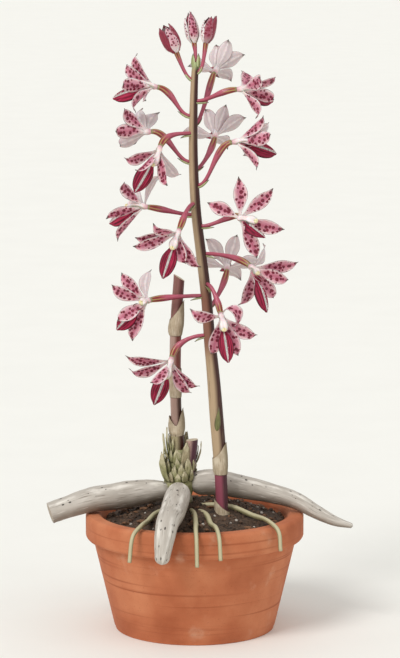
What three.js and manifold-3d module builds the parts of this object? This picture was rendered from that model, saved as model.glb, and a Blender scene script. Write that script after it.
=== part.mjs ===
// A blotched hyacinth orchid in a plain, low terracotta pot: one flowering stem with fifteen open
// blooms and three buds, one older stem cut short, a stub, the ragged scales of the crown, three
// thick roots and four thin ones that lie over the soil and the rim.
// Millimetres, +Z up. The origin is the centre of the pot's underside, and the plant faces -Y.
import * as THREE from "three";
import { mergeVertices } from "three/addons/utils/BufferGeometryUtils.js";
import Module from "manifold-3d";

const wasm = await Module();
wasm.setup();

// Driving dimensions
const GAP = 0.3;
const POT = { height: 56, rimRadius: 52, rimDepth: 12, rimLip: 3.5, baseRadius: 38, wall: 4, floor: 5 };
const DRAIN = { count: 3, radius: 3.5, circle: 20 };
const SOIL = { edge: POT.height - 4.5, dome: 8.5, roughness: 0.5, sides: 28 };
const SOIL_RINGS = [0.001, 0.2, 0.42, 0.64, 0.84, 1];
const TEPAL = { reach: 20, width: 7, thick: 0.7, cup: 1.5, channel: 0.7 };
const LIP = { reach: 22, claw: 2, width: 8, thick: 0.8, keel: 1.1 };
const PEDICEL = { foot: 0.8, middle: 0.95, ovary: 1.55, neck: 1.2, ovaryLength: 8 };
const HEART = 1.7;
const COLUMN = {
  line: [[-HEART, 0], [0, 0], [3, -0.8], [5.6, -0.9], [7.2, 0.2], [7.8, 1.4]],
  radii: [1.2, HEART, 1.4, 1.1, 1.1, 1.4, 0.8],
};
const TWIST = 0.5;
const BRACT = { length: 5.5, width: 2, thick: 0.7, drop: 1.8, root: 1.4 };
const SCALE_LEAF = { count: 20, width: 4, thick: 0.8 };
const CONE = { x: -7.2, y: 3.2, z: 66.5, profile: [[0, 0], [7.6, 0], [7.8, 4], [4.4, 17], [0, 17]] };
const GOLDEN_TURN = 2.4;

const vec = (x, y, z) => new THREE.Vector3(x, y, z);
const mix = THREE.MathUtils.lerp;

/** A repeatable random number from 0 to 1. */
function seeded(seed) {
  let state = seed;
  return () => {
    state = (Math.imul(state, 1664525) + 1013904223) >>> 0;
    return state / 2 ** 32;
  };
}

// Solids and meshes

/** A closed geometry as a solid that can be joined and cut. */
function solidOf(geometry) {
  const bare = geometry.index ? geometry.toNonIndexed() : geometry.clone();
  for (const name of Object.keys(bare.attributes)) if (name !== "position") bare.deleteAttribute(name);
  const merged = mergeVertices(bare, 1e-4);
  return new wasm.Manifold(
    new wasm.Mesh({
      numProp: 3,
      vertProperties: merged.attributes.position.array,
      triVerts: new Uint32Array(merged.index.array),
    }),
  );
}

/** The geometry of a solid, ready to draw. */
function geometryOf(solid) {
  const mesh = solid.getMesh();
  const geometry = new THREE.BufferGeometry();
  geometry.setAttribute("position", new THREE.BufferAttribute(new Float32Array(mesh.vertProperties), 3));
  geometry.setIndex(new THREE.BufferAttribute(new Uint32Array(mesh.triVerts), 1));
  geometry.computeVertexNormals();
  return geometry;
}

/** The largest body of a solid: what a cut leaves loose beside it is dropped. */
const mainBody = (solid) => solid.decompose().sort((a, b) => b.volume() - a.volume())[0];

const fused = (solids) => solids.reduce((whole, next) => whole.add(next));

/** A closed skin over rings of points that all have the same count, with a flat fan on each end. */
function loft(rings) {
  const sides = rings[0].length;
  const points = rings.flat();
  const faces = [];
  for (let i = 0; i + 1 < rings.length; i++)
    for (let j = 0; j < sides; j++) {
      const a = i * sides + j;
      const b = i * sides + ((j + 1) % sides);
      faces.push(a, b, b + sides, a, b + sides, a + sides);
    }
  for (let j = 1; j + 1 < sides; j++) {
    const last = (rings.length - 1) * sides;
    faces.push(0, j + 1, j, last, last + j, last + j + 1);
  }
  const geometry = new THREE.BufferGeometry().setFromPoints(points);
  geometry.setIndex(faces);
  return solidOf(geometry);
}

/** A round stalk along a smooth curve, whose radius runs through the given list. */
function stalk({ points, radii, sides, steps, swell = 0 }) {
  const curve = Array.isArray(points) ? new THREE.CatmullRomCurve3(points, false, "centripetal") : points;
  const { normals, binormals } = curve.computeFrenetFrames(steps);
  const rings = [];
  for (let i = 0; i <= steps; i++) {
    const along = (i / steps) * (radii.length - 1);
    const k = Math.min(Math.floor(along), radii.length - 2);
    const radius = mix(radii[k], radii[k + 1], along - k) + swell;
    const centre = curve.getPointAt(i / steps);
    const ring = [];
    for (let j = 0; j < sides; j++) {
      const turn = (2 * Math.PI * j) / sides;
      ring.push(
        centre
          .clone()
          .addScaledVector(normals[i], radius * Math.cos(turn))
          .addScaledVector(binormals[i], radius * Math.sin(turn)),
      );
    }
    rings.push(ring);
  }
  return loft(rings);
}

/**
 * A thin arched blade along a curve that lies in one plane with the way it faces. Both faces are
 * split into triangles alike. channel lifts its edges towards that way, and a keel lowers them.
 */
function blade({ path, facing, outline, width, thick, channel, along, across = 2 }) {
  const chord = path.getPoint(1).sub(path.getPoint(0));
  const side = new THREE.Vector3().crossVectors(chord, facing).normalize();
  const rings = [];
  for (let i = 0; i <= along; i++) {
    const t = i / along;
    const centre = path.getPoint(t);
    const normal = new THREE.Vector3().crossVectors(side, path.getTangent(t)).normalize();
    const half = (width * outline(t)) / 2;
    const face = (level) =>
      Array.from({ length: across + 1 }, (_, j) => {
        const s = (2 * j) / across - 1;
        const lift = channel * outline(t) * s * s + level * thick * 0.5;
        return centre.clone().addScaledVector(side, half * s).addScaledVector(normal, lift);
      });
    rings.push([...face(1), ...face(-1).reverse()]);
  }
  return ribbon(rings, across);
}

/** A closed blade whose rings run over its upper face and back under its lower one. */
function ribbon(rings, across) {
  const sides = 2 * (across + 1);
  const faces = [];
  const quad = (a, b, c, d, flip) => (flip ? faces.push(a, b, d, b, c, d) : faces.push(a, b, c, a, c, d));
  for (let i = 0; i + 1 < rings.length; i++)
    for (let j = 0; j < sides; j++) {
      const a = i * sides + j;
      const b = i * sides + ((j + 1) % sides);
      quad(a, b, b + sides, a + sides, j > across);
    }
  const last = (rings.length - 1) * sides;
  for (let j = 0; j < across; j++) {
    const back = sides - 1 - j;
    quad(back, back - 1, j + 1, j, false);
    quad(last + j, last + j + 1, last + back - 1, last + back, false);
  }
  const geometry = new THREE.BufferGeometry().setFromPoints(rings.flat());
  geometry.setIndex(faces);
  return solidOf(geometry);
}

// The pot and the soil

/** A closed profile of [radius, height] points, turned round the upright axis. */
function turned(profile, sides) {
  const outline = [...profile, profile[0]].map(([r, z]) => new THREE.Vector2(r, z));
  const geometry = new THREE.LatheGeometry(outline, sides);
  geometry.rotateX(Math.PI / 2);
  return solidOf(geometry);
}

function pot() {
  const { height, rimRadius, rimDepth, rimLip, baseRadius, wall, floor } = POT;
  const shoulder = rimRadius - rimLip;
  const body = turned(
    [
      [0, 0],
      [baseRadius, 0],
      [shoulder, height - rimDepth],
      [rimRadius - 0.6, height - rimDepth],
      [rimRadius, height - rimDepth + 1],
      [rimRadius, height - 1.2],
      [rimRadius - 1.2, height],
      [rimRadius - rimLip - wall + 1, height],
      [rimRadius - rimLip - wall, height - 1],
      [baseRadius - wall, floor],
      [0, floor],
    ],
    32,
  );
  const drains = [];
  for (let i = 0; i < DRAIN.count; i++) {
    const turn = (2 * Math.PI * (i + 0.25)) / DRAIN.count;
    const hole = new THREE.CylinderGeometry(DRAIN.radius, DRAIN.radius, 3 * floor, 10);
    hole.rotateX(Math.PI / 2);
    hole.translate(DRAIN.circle * Math.cos(turn), DRAIN.circle * Math.sin(turn), 0);
    drains.push(solidOf(hole));
  }
  return body.subtract(fused(drains));
}

/** The inner radius of the pot at a height. */
function potInside(z) {
  const share = (z - POT.floor) / (POT.height - 1 - POT.floor);
  return mix(POT.baseRadius - POT.wall, POT.rimRadius - POT.rimLip - POT.wall, share);
}

/** The soil, level at the wall and mounded to the crown, with holes for all that stands in it. */
function soil(holes) {
  const lumps = (x, y) => Math.sin(0.61 * x + 1.3) * Math.cos(0.53 * y) + Math.sin(0.29 * x - 0.37 * y);
  const bottom = POT.floor + GAP;
  const rings = SOIL_RINGS.map((share) => share * (potInside(SOIL.edge) - 2 * GAP));
  const ringAt = (radius, height) =>
    Array.from({ length: SOIL.sides }, (_, j) => {
      const turn = (-2 * Math.PI * j) / SOIL.sides;
      const x = radius * Math.cos(turn);
      const y = radius * Math.sin(turn);
      return vec(x, y, height(x, y));
    });
  const top = (x, y) => {
    const share = Math.hypot(x, y) / potInside(SOIL.edge);
    return SOIL.edge + SOIL.dome * (1 - share * share) + SOIL.roughness * lumps(x, y) * (1 - share ** 4);
  };
  const body = loft([
    ...rings.map((radius) => ringAt(radius, top)),
    ringAt(potInside(bottom) - 2 * GAP, () => bottom),
  ]);
  return holes.reduce((left, hole) => left.subtract(hole), body);
}

// Stems, their sheaths and the crown

const flowerStemLine = [
  vec(13.4, -13, 30),
  vec(13.2, -13, 54),
  vec(12, -11.5, 83),
  vec(10.4, -9.5, 103),
  vec(8.8, -7.2, 123),
  vec(7.2, -5.2, 139),
  vec(5.6, -3.4, 159),
  vec(3.2, -1.8, 179),
  vec(0.8, -0.6, 199),
  vec(-0.4, 0, 219),
  vec(-0.6, 0, 239),
  vec(0, 0, 262),
  vec(0.6, 0, 270),
];
const flowerStemCurve = new THREE.CatmullRomCurve3(flowerStemLine, false, "centripetal");
const flowerStem = {
  points: flowerStemLine,
  radii: [2.9, 2.9, 2.9, 3.2, 3.2, 2.9, 2.6, 2.5, 2.4, 2.3, 2.1, 1.9, 1.6],
  sides: 8,
  steps: 20,
};

const oldStem = {
  points: [
    vec(-7.6, 4, 67),
    vec(-8.2, 4, 87),
    vec(-9, 4, 110),
    vec(-9.2, 4, 130),
    vec(-8.6, 4, 150),
    vec(-7.3, 4, 168),
  ],
  radii: [2.5, 2.7, 2.6, 2.7, 2.7, 2.6],
  sides: 8,
  steps: 8,
};

const stub = {
  points: [vec(-3.6, 1.5, 68), vec(-2.2, 1.2, 80), vec(-1.2, 1, 90.5)],
  radii: [2.4, 2.8, 2.8],
  sides: 8,
  steps: 3,
};

/** The middle of the flowering stem at a height. */
function stemAt(height) {
  let low = 0;
  let high = 1;
  for (let i = 0; i < 30; i++) {
    const middle = (low + high) / 2;
    if (flowerStemCurve.getPoint(middle).z < height) low = middle;
    else high = middle;
  }
  return flowerStemCurve.getPoint(low);
}

/** The radius of the flowering stem at a height, measured along its length. */
function stemRadiusAt(height) {
  const share = (height - flowerStemLine[0].z) / (flowerStemLine.at(-1).z - flowerStemLine[0].z);
  const along = share * (flowerStem.radii.length - 1);
  const k = Math.min(Math.floor(along), flowerStem.radii.length - 2);
  return mix(flowerStem.radii[k], flowerStem.radii[k + 1], along - k);
}

/** A sheath wrapped round a stem, its mouth cut on the slant and its foot square. */
function sheath({ stem, from, to, slant, turn, grow }) {
  const wrap = stalk({ ...stem, swell: grow });
  const low = new THREE.BoxGeometry(40, 40, 400);
  low.translate(0, 0, from - 200);
  const high = new THREE.BoxGeometry(900, 60, 400);
  high.translate(0, 0, 200);
  high.rotateY(slant);
  high.rotateZ(turn);
  const centre = stem.points.reduce((near, p) => (Math.abs(p.z - to) < Math.abs(near.z - to) ? p : near));
  high.translate(centre.x, centre.y, to);
  return wrap.subtract(solidOf(low)).subtract(solidOf(high));
}

const SHEATHS = {
  flowerFoot: { stem: flowerStem, from: 44, to: 59, slant: 0.8, turn: 0, grow: 0.9 },
  flowerMiddle: { stem: flowerStem, from: 76.4, to: 88, slant: -0.9, turn: 0, grow: 1 },
  oldUpper: { stem: oldStem, from: 140.4, to: 153.5, slant: -0.9, turn: 0, grow: 0.7 },
  oldMiddle: { stem: oldStem, from: 110.4, to: 125.5, slant: 0.4, turn: 0, grow: 0.5 },
  oldLower: { stem: oldStem, from: 88, to: 102, slant: -0.9, turn: 0.5, grow: 1 },
};

/** The small green scale pressed against the flowering stem above its sheath. */
function pressedScale() {
  const foot = stemAt(97);
  const path = new THREE.CubicBezierCurve3(
    vec(foot.x + 0.6, foot.y - 2.7, 97),
    vec(foot.x + 0.8, foot.y - 3.4, 101),
    vec(foot.x + 1.2, foot.y - 3, 106),
    vec(foot.x + 1.4, foot.y - 2.2, 110),
  );
  const facing = vec(0, -1, 0);
  return blade({ path, facing, outline: pointed, width: 3, thick: 0.9, channel: -0.5, along: 3 });
}

/** Blade outlines, as a share of full width at each share of the length. */
const pointed = (t) => Math.max(0.12, Math.sin(Math.PI * (0.25 + 0.75 * t)));
const tepalOutline = (t) => Math.max(0.1, Math.sin(Math.PI * t ** 1.25) + 0.2 * (1 - t) ** 2);
const lipOutline = (t) => {
  const lamina = Math.max(0, (t - 0.3) / 0.7);
  return Math.max(LIP.claw / LIP.width, Math.sin(Math.PI * lamina ** 0.85) ** 0.8) * (t > 0.97 ? 0.4 : 1);
};

/** The ragged scale leaves round the foot of the old stem, rooted in one low cone. */
function crownScales(holes) {
  const random = seeded(7);
  const axis = vec(CONE.x, CONE.y, 0);
  const cone = turned(CONE.profile, 12).translate([CONE.x, CONE.y, CONE.z]);
  const leaves = [];
  for (let i = 0; i < SCALE_LEAF.count; i++) {
    const share = i / SCALE_LEAF.count;
    const turn = i * GOLDEN_TURN;
    const radius = mix(7.2, 4.4, share);
    const height = mix(8, 12, random()) + (Math.cos(turn) < -0.2 ? 3 : 0);
    const out = vec(Math.cos(turn), Math.sin(turn), 0);
    const foot = axis.clone().addScaledVector(out, radius - 1.4).setZ(68.5 + 13 * share);
    const path = new THREE.CubicBezierCurve3(
      foot,
      foot.clone().addScaledVector(out, 1.8).add(vec(0, 0, height * 0.3)),
      foot.clone().addScaledVector(out, 2.2).add(vec(0, 0, height * 0.7)),
      foot.clone().addScaledVector(out, 1.6 + 1.4 * random()).add(vec(0, 0, height)),
    );
    const { width, thick } = SCALE_LEAF;
    const facing = out.negate();
    leaves.push(blade({ path, facing, outline: pointed, width, thick, channel: 0.7, along: 2 }));
  }
  return mainBody(holes.reduce((left, hole) => left.subtract(hole), fused([cone, ...leaves])));
}

// Roots

const THICK_ROOTS = {
  root_left: {
    points: [
      vec(-15.2, 1, 66),
      vec(-25, 0, 65.2),
      vec(-38, -2, 63.6),
      vec(-49, -4, 62.4),
      vec(-60, -7, 59.6),
      vec(-68.5, -9, 57),
    ],
    radii: [3.2, 6.1, 6.6, 6.1, 5.8, 5.3, 5.1],
    sides: 12,
    steps: 9,
  },
  root_right: {
    points: [
      vec(0.6, 3, 69.4),
      vec(8, 2.6, 69.6),
      vec(22, 1.5, 67.6),
      vec(36, 0, 64.8),
      vec(48, -2, 61.6),
      vec(58, -5, 56.6),
      vec(67, -9, 53),
      vec(75, -13, 51.6),
    ],
    radii: [4.2, 6, 5.7, 5.3, 4.6, 4.1, 3.4, 2.5, 0.9],
    sides: 12,
    steps: 12,
  },
  root_front: {
    points: [
      vec(-6.8, -6.5, 67),
      vec(-8, -15, 66.5),
      vec(-9.5, -28, 64),
      vec(-11, -41, 62.4),
      vec(-12.6, -51.5, 61),
      vec(-14, -60, 54),
      vec(-15, -64, 45),
    ],
    radii: [3.4, 6, 6.1, 5.9, 5.6, 5.1, 4.4, 3],
    sides: 12,
    steps: 11,
  },
};

const THIN_ROOT_RADII = [1.5, 1.35, 1.3, 1.2, 1];
const THIN_ROOTS = [
  [[-9, 0, 58], [-18, -14, 58], [-22, -29, 57.4], [-25, -43.6, 58.2], [-28.4, -49.4, 55], [-30, -51, 43]],
  [[-5, 0, 57], [-0.6, -15, 58.6], [0.6, -32, 57.2], [0.6, -49, 58.2], [0.9, -55, 55], [1.2, -56, 42]],
  [[-4, 0, 57], [5, -17, 58.4], [7.6, -33, 57.2], [10.2, -48, 58.2], [11.4, -54.4, 55], [12, -55.6, 45]],
  [
    [-4, 1, 57], [8, -4.8, 60], [18, -8, 59.6], [27, -18, 58],
    [35, -33.6, 58.2], [39, -39.4, 55], [40, -40.6, 46],
  ],
];

/** The hidden rootstock with the four thin roots that leave it. */
function thinRoots(swell = 0) {
  const core = stalk({
    points: [vec(-7.2, 2.6, 54), vec(-7.2, 2.6, 60), vec(-7.2, 2.6, 66)],
    radii: [3.5, 6.2, 5.2],
    sides: 12,
    steps: 4,
    swell,
  });
  const strands = THIN_ROOTS.map((places) => {
    const points = places.map((place) => vec(...place));
    return stalk({ points, radii: THIN_ROOT_RADII, sides: 5, steps: 10, swell });
  });
  return fused([core, ...strands]);
}

// Blooms and buds

/**
 * Each bloom: the height at which its stalk leaves the stem, its heart, the way it faces, and the
 * tips of its tepals and lip, as [across, up, depth] from the heart. Depth is the share of the
 * length left over that leans towards the back, or towards the front where it is negative.
 */
const BLOOMS = [
  {
    foot: 245, heart: [-18.9, -3, 258.8], faces: [-0.95, -0.1, 0.15], lip: [-17.6, -6, 0.1],
    tips: [[-10, 15.2, 1], [-14.4, 10, 0.9], [-16.2, 2, -1], [-10.4, -10.8, -0.9], [-5, -8, 1]],
  },
  {
    foot: 241, heart: [9.6, 17, 264.3], faces: [0.25, 0.85, 0.45], lip: [-2, -3, 1],
    tips: [[1.2, 13.4, 0.7], [7, 15.9, 0.6], [14.7, 8.2, 0.8], [8.3, -4.3, 0.4], [-12.6, 2.5, 0.7]],
  },
  {
    foot: 251.9, heart: [21.2, -5, 257.7], faces: [0.95, 0.1, 0.05], lip: [14, -7, 0.9],
    tips: [[9.5, 7.2, -1], [17.2, 6.6, 0.8], [17.2, -4.3, -0.8], [9.5, -12.9, -0.6], [-1.5, 6.8, 1]],
  },
  {
    foot: 223.4, heart: [-21.6, -1, 237.5], faces: [-0.9, 0.25, -0.1], lip: [-12, -8, 1],
    tips: [[-12, 11.6, -0.7], [-16, 0.8, -0.9], [-15.3, -6.8, -0.2], [-4.5, 9.5, 1], [4, 7.5, 1]],
  },
  {
    foot: 236.9, heart: [-16.4, -12, 230.4], faces: [-0.3, -0.6, -0.75], lip: [-11, -19, 0.1],
    tips: [[-16.9, -5.2, -0.4], [-11.6, -10, -1], [3.4, -17.4, -1], [9.5, -14.2, 0.6], [-3, -9, 1]],
  },
  {
    foot: 219.6, heart: [9.6, 17, 233.6], faces: [0.1, 0.85, 0.45], lip: [-2, -4, 1],
    tips: [[-4.4, 13.4, 0.7], [5.5, 15.2, 0.6], [15.2, 9.7, 0.6], [-16, 1.4, 0.9], [6.4, -6.4, 0.6]],
  },
  {
    foot: 212.4, heart: [19.1, -5, 233.2], faces: [0.95, 0, 0.1], lip: [17.7, -6.7, 0.8],
    tips: [[14.1, 12.6, -0.3], [17.4, 8.9, 1], [18, 4.3, -0.9], [10.7, -12.2, -0.8], [6, -8, 1]],
  },
  {
    foot: 198.5, heart: [-23.5, 0, 202.2], faces: [-0.95, 0.1, 0.1], lip: [-15.2, -9.6, 0.9],
    tips: [[-11.5, 12.6, -0.6], [-19.1, -5.4, -1], [-14, -16.4, 0], [-2.2, 9, 1], [7, 14.6, 0.4]],
  },
  {
    foot: 203.8, heart: [-7.6, -16, 192], faces: [-0.3, -0.6, -0.7], lip: [-6.7, -20, -0.5],
    tips: [[-12, 4.5, -0.7], [-20.4, -3.2, 0], [-21.5, -7.4, 0], [2.6, -16.6, 0.7], [10.2, -17.6, 0]],
  },
  {
    foot: 193.2, heart: [21.1, -8, 197.7], faces: [0.2, -0.95, -0.2], lip: [9, -8, -0.6],
    tips: [[-0.3, 19.1, 0], [16, 13.4, 0], [21.3, -5.7, 0], [8.6, -19.4, 0], [-15, 7, 0]],
  },
  {
    foot: 155, heart: [15.4, 16, 170.6], faces: [0.05, 0.85, 0.45], lip: [1, -5, 1],
    tips: [[-10.2, 14.7, 0.7], [5, 16.6, 0.6], [-17.9, 2.6, 0.6], [17, 2, 0.6], [7, -6, 0.6]],
  },
  {
    foot: 180.2, heart: [26.9, -4, 173.8], faces: [0.6, -0.65, -0.45], lip: [6, -19.4, -0.8],
    tips: [[6.7, 8.5, 1], [22.5, 2.2, 0], [18.5, -6.4, -0.7], [11.5, -15.9, 0.9], [-5.4, -19, 0.7]],
  },
  {
    foot: 160.5, heart: [-22.2, -7, 158.5], faces: [-0.6, -0.75, -0.05], lip: [-13.4, -13.7, -0.8],
    tips: [[0.6, 13.1, 0.7], [-13, 12, 0.9], [-17.5, 8, -0.6], [-15, -8.9, 0.9], [-8, -19.4, 0]],
  },
  {
    foot: 166.2, heart: [12.5, -17, 152.8], faces: [0.15, -0.8, -0.55], lip: [3, -19.5, -0.9],
    tips: [[-14.4, 3.2, -0.5], [10.5, 1, -0.8], [17.2, -10.2, 0.2], [-4.6, -19.4, 0.9], [8.2, -19.7, 0]],
  },
  {
    foot: 141.9, heart: [-11.2, -9, 130.4], faces: [-0.25, -0.5, -0.85], lip: [-7.5, -20, 0.3],
    tips: [[-21.7, 1.5, 0], [-20.4, -6, 0], [-9.9, -9.7, -1], [13.4, -13.4, 0], [9.4, -17.2, 0.7]],
  },
];

/** From the heart to a tip: the depth fills up what is left of the reach. */
function reachTo([across, up, depth], reach) {
  const left = Math.max(0, reach * reach - across * across - up * up);
  return vec(across, depth * Math.sqrt(left), up);
}

/** A tepal's middle line, which arches from the heart towards the way the bloom faces. */
function tepalPath(heart, faces, reach) {
  const at = (share, lift) => heart.clone().addScaledVector(reach, share).addScaledVector(faces, lift);
  const { cup } = TEPAL;
  return new THREE.CubicBezierCurve3(at(0.06, 0.2), at(0.3, cup), at(0.75, 1.6 * cup), at(1, 0));
}

/** The way from the heart to the lip, square to the way the bloom faces. */
function lipSide(bloom) {
  const faces = vec(...bloom.faces).normalize();
  const reach = reachTo(bloom.lip, LIP.reach);
  return reach.addScaledVector(faces, -reach.dot(faces)).normalize();
}

/** The column in the middle of a bloom, which bends over the lip. Its foot is the bloom's heart. */
function column(bloom) {
  const heart = vec(...bloom.heart);
  const faces = vec(...bloom.faces).normalize();
  const down = lipSide(bloom);
  const at = (forward, drop) => heart.clone().addScaledVector(faces, forward).addScaledVector(down, drop);
  return stalk({
    points: COLUMN.line.map(([forward, drop]) => at(forward, drop)),
    radii: COLUMN.radii,
    sides: 5,
    steps: 5,
  });
}

/**
 * The way a blade's broad inner side faces: it opens with the bloom, and the blade is twisted a
 * little towards the front or the back of the plant, so that it is not seen on edge.
 */
function broadSide(faces, reach) {
  const way = reach.clone().normalize();
  const inner = faces.clone().addScaledVector(way, -faces.dot(way)).normalize();
  inner.y += Math.sign(inner.y) * TWIST;
  return inner;
}

function tepals(bloom) {
  const heart = vec(...bloom.heart);
  const faces = vec(...bloom.faces).normalize();
  const blades = bloom.tips.map((tip) =>
    blade({
      path: tepalPath(heart, faces, reachTo(tip, TEPAL.reach)),
      facing: broadSide(faces, reachTo(tip, TEPAL.reach)),
      outline: tepalOutline,
      width: TEPAL.width,
      thick: TEPAL.thick,
      channel: TEPAL.channel,
      along: 4,
    }),
  );
  return fused([column(bloom), ...blades]);
}

function lip(bloom) {
  const heart = vec(...bloom.heart);
  const faces = vec(...bloom.faces).normalize();
  const reach = reachTo(bloom.lip, LIP.reach);
  const down = lipSide(bloom);
  const at = (share, lift) => heart.clone().addScaledVector(reach, share).addScaledVector(faces, lift);
  const path = new THREE.CubicBezierCurve3(
    heart.clone().addScaledVector(down, 1.8).addScaledVector(faces, 3.2),
    at(0.35, 3.4),
    at(0.7, 3),
    at(1, 1.6),
  );
  return blade({
    path,
    facing: broadSide(faces, reach),
    outline: lipOutline,
    width: LIP.width,
    thick: LIP.thick,
    channel: -LIP.keel,
    along: 5,
  });
}

/** The curve of a bloom's stalk, square out of the stem and straight into the back of the bloom. */
function pedicelPath(bloom) {
  const heart = vec(...bloom.heart);
  const faces = vec(...bloom.faces).normalize();
  const axis = stemAt(bloom.foot);
  const out = heart.clone().sub(axis).setZ(0).normalize();
  const foot = axis.clone().addScaledVector(out, stemRadiusAt(bloom.foot) + GAP);
  const end = heart.clone().addScaledVector(faces, -HEART - GAP);
  return new THREE.CubicBezierCurve3(
    foot,
    foot.clone().addScaledVector(out, 6),
    end.clone().addScaledVector(faces, -PEDICEL.ovaryLength),
    end,
  );
}

function pedicel(bloom) {
  const { foot, middle, ovary, neck } = PEDICEL;
  const radii = [foot, middle, middle, ovary, neck];
  return stalk({ points: pedicelPath(bloom), radii, sides: 5, steps: 7 });
}

/** The bract that lies close under the foot of a stalk, rooted in the stem. */
function bract(bloom) {
  const path = pedicelPath(bloom);
  const share = BRACT.length / path.getLength();
  const below = (t) => {
    const along = path.getTangentAt(t);
    const side = new THREE.Vector3().crossVectors(along, vec(0, 0, 1));
    const down = new THREE.Vector3().crossVectors(along, side).normalize();
    return path.getPointAt(t).addScaledVector(down, BRACT.drop);
  };
  const root = below(0).addScaledVector(path.getTangentAt(0), -BRACT.root);
  const line = new THREE.CatmullRomCurve3([root, below(share / 2), below(share)]);
  const { width, thick } = BRACT;
  const facing = vec(0, 0, 1);
  return blade({ path: line, facing, outline: pointed, width, thick, channel: 0, along: 2, across: 1 });
}

/**
 * Each bud: the height of its stalk's foot and the way it leaves the stem, its neck, its tip, its
 * greatest radius and the sides on which an outer petal stands off.
 */
const BUDS = {
  bud_left: {
    foot: 262.2, out: vec(-1, -0.2, 0), neck: vec(-8.5, -1.5, 274.7), tip: vec(-14.4, -2, 287),
    girth: 3.6, flaps: [-1, 1],
  },
  bud_top: {
    foot: 270, out: vec(0, 0, 1), neck: vec(-0.2, 0, 279), tip: vec(-2.4, 0, 293.7),
    girth: 2.5, flaps: [-1],
  },
  bud_right: {
    foot: 265.6, out: vec(1, -0.3, 0), neck: vec(5.3, -1, 279), tip: vec(8, -1.4, 291.8),
    girth: 2.3, flaps: [-1, 1],
  },
};

function bud({ foot, out, neck, tip, girth, flaps }) {
  const way = out.clone().normalize();
  const axis = stemAt(foot);
  const upright = way.z > 0.9;
  const start = axis.clone().addScaledVector(way, upright ? GAP : stemRadiusAt(foot) + GAP);
  const grow = tip.clone().sub(neck).normalize();
  const bend = new THREE.CubicBezierCurve3(
    start,
    start.clone().addScaledVector(way, 3),
    neck.clone().addScaledVector(grow, -4),
    neck.clone().addScaledVector(grow, 1),
  );
  const handle = stalk({ points: bend, radii: [0.75, 0.85, 1.1, 1.3], sides: 5, steps: 5 });
  const body = stalk({
    points: [neck, neck.clone().lerp(tip, 0.5), tip],
    radii: [0.9, 0.8 * girth, girth, 0.95 * girth, 0.6 * girth, 0.4],
    sides: 7,
    steps: 5,
  });
  const blades = flaps.map((side) => {
    const facing = vec(-side, 0.1, 0);
    const lean = tip.clone().sub(neck).multiplyScalar(0.86);
    const path = new THREE.CubicBezierCurve3(
      neck.clone(),
      neck.clone().addScaledVector(lean, 0.3).addScaledVector(facing, -girth * 1.1),
      neck.clone().addScaledVector(lean, 0.7).addScaledVector(facing, -girth * 1.5),
      neck.clone().add(lean).addScaledVector(facing, -girth * 1.1),
    );
    return blade({ path, facing, outline: tepalOutline, width: 4, thick: 0.8, channel: 0.6, along: 3 });
  });
  return fused([handle, body, ...blades]);
}

// The whole plant

const finish = {
  terracotta: new THREE.MeshStandardMaterial({ color: "#b8683f", roughness: 0.85 }),
  soil: new THREE.MeshStandardMaterial({ color: "#3f3026", roughness: 1 }),
  stem: new THREE.MeshStandardMaterial({ color: "#7a5c44", roughness: 0.55 }),
  sheath: new THREE.MeshStandardMaterial({ color: "#b59b74", roughness: 0.7 }),
  scaleLeaf: new THREE.MeshStandardMaterial({ color: "#8c8a56", roughness: 0.75 }),
  thickRoot: new THREE.MeshStandardMaterial({ color: "#b9aea1", roughness: 0.7 }),
  thinRoot: new THREE.MeshStandardMaterial({ color: "#88805f", roughness: 0.7 }),
  pedicel: new THREE.MeshStandardMaterial({ color: "#9c2f43", roughness: 0.5 }),
  tepal: new THREE.MeshStandardMaterial({ color: "#d98a9c", roughness: 0.55 }),
  lip: new THREE.MeshStandardMaterial({ color: "#9a1838", roughness: 0.6 }),
  bud: new THREE.MeshStandardMaterial({ color: "#b85a6c", roughness: 0.55 }),
};

const plant = new THREE.Group();

function place(name, solid, material) {
  const mesh = new THREE.Mesh(geometryOf(solid), material);
  mesh.name = name;
  plant.add(mesh);
}

const fat = (shape) => stalk({ ...shape, swell: GAP });
const wide = (wrap) => sheath({ ...wrap, from: wrap.from - GAP, to: wrap.to + 1, grow: wrap.grow + GAP });
const stemHoles = [fat(oldStem), fat(stub), wide(SHEATHS.oldLower)];
const rootHoles = Object.values(THICK_ROOTS).map(fat);

place("pot", pot(), finish.terracotta);
place("soil", soil([...rootHoles, thinRoots(GAP), fat(flowerStem), wide(SHEATHS.flowerFoot)]), finish.soil);

const flowerStemSolid = fused([
  stalk(flowerStem),
  pressedScale(),
  sheath(SHEATHS.flowerFoot),
  ...BLOOMS.map(bract),
]);
place("flower_stem", flowerStemSolid, finish.stem);
place("flower_stem_sheath", sheath(SHEATHS.flowerMiddle).subtract(fat(flowerStem)), finish.sheath);
place("old_stem", fused([stalk(oldStem), sheath(SHEATHS.oldUpper), sheath(SHEATHS.oldMiddle)]), finish.stem);
place("old_stem_sheath", sheath(SHEATHS.oldLower).subtract(fat(oldStem)), finish.sheath);
place("stem_stub", stalk(stub), finish.stem);
place("crown_scales", crownScales([...stemHoles, ...rootHoles, thinRoots(GAP)]), finish.scaleLeaf);

for (const [name, shape] of Object.entries(THICK_ROOTS)) place(name, stalk(shape), finish.thickRoot);
place("thin_roots", rootHoles.reduce((left, hole) => left.subtract(hole), thinRoots()), finish.thinRoot);

BLOOMS.forEach((bloom, i) => {
  const name = "bloom_" + String(i + 1).padStart(2, "0");
  place(name + "_pedicel", pedicel(bloom), finish.pedicel);
  place(name + "_tepals", tepals(bloom), finish.tepal);
  place(name + "_lip", lip(bloom), finish.lip);
});
for (const [name, shape] of Object.entries(BUDS)) place(name, bud(shape), finish.bud);

export default plant;
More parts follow.
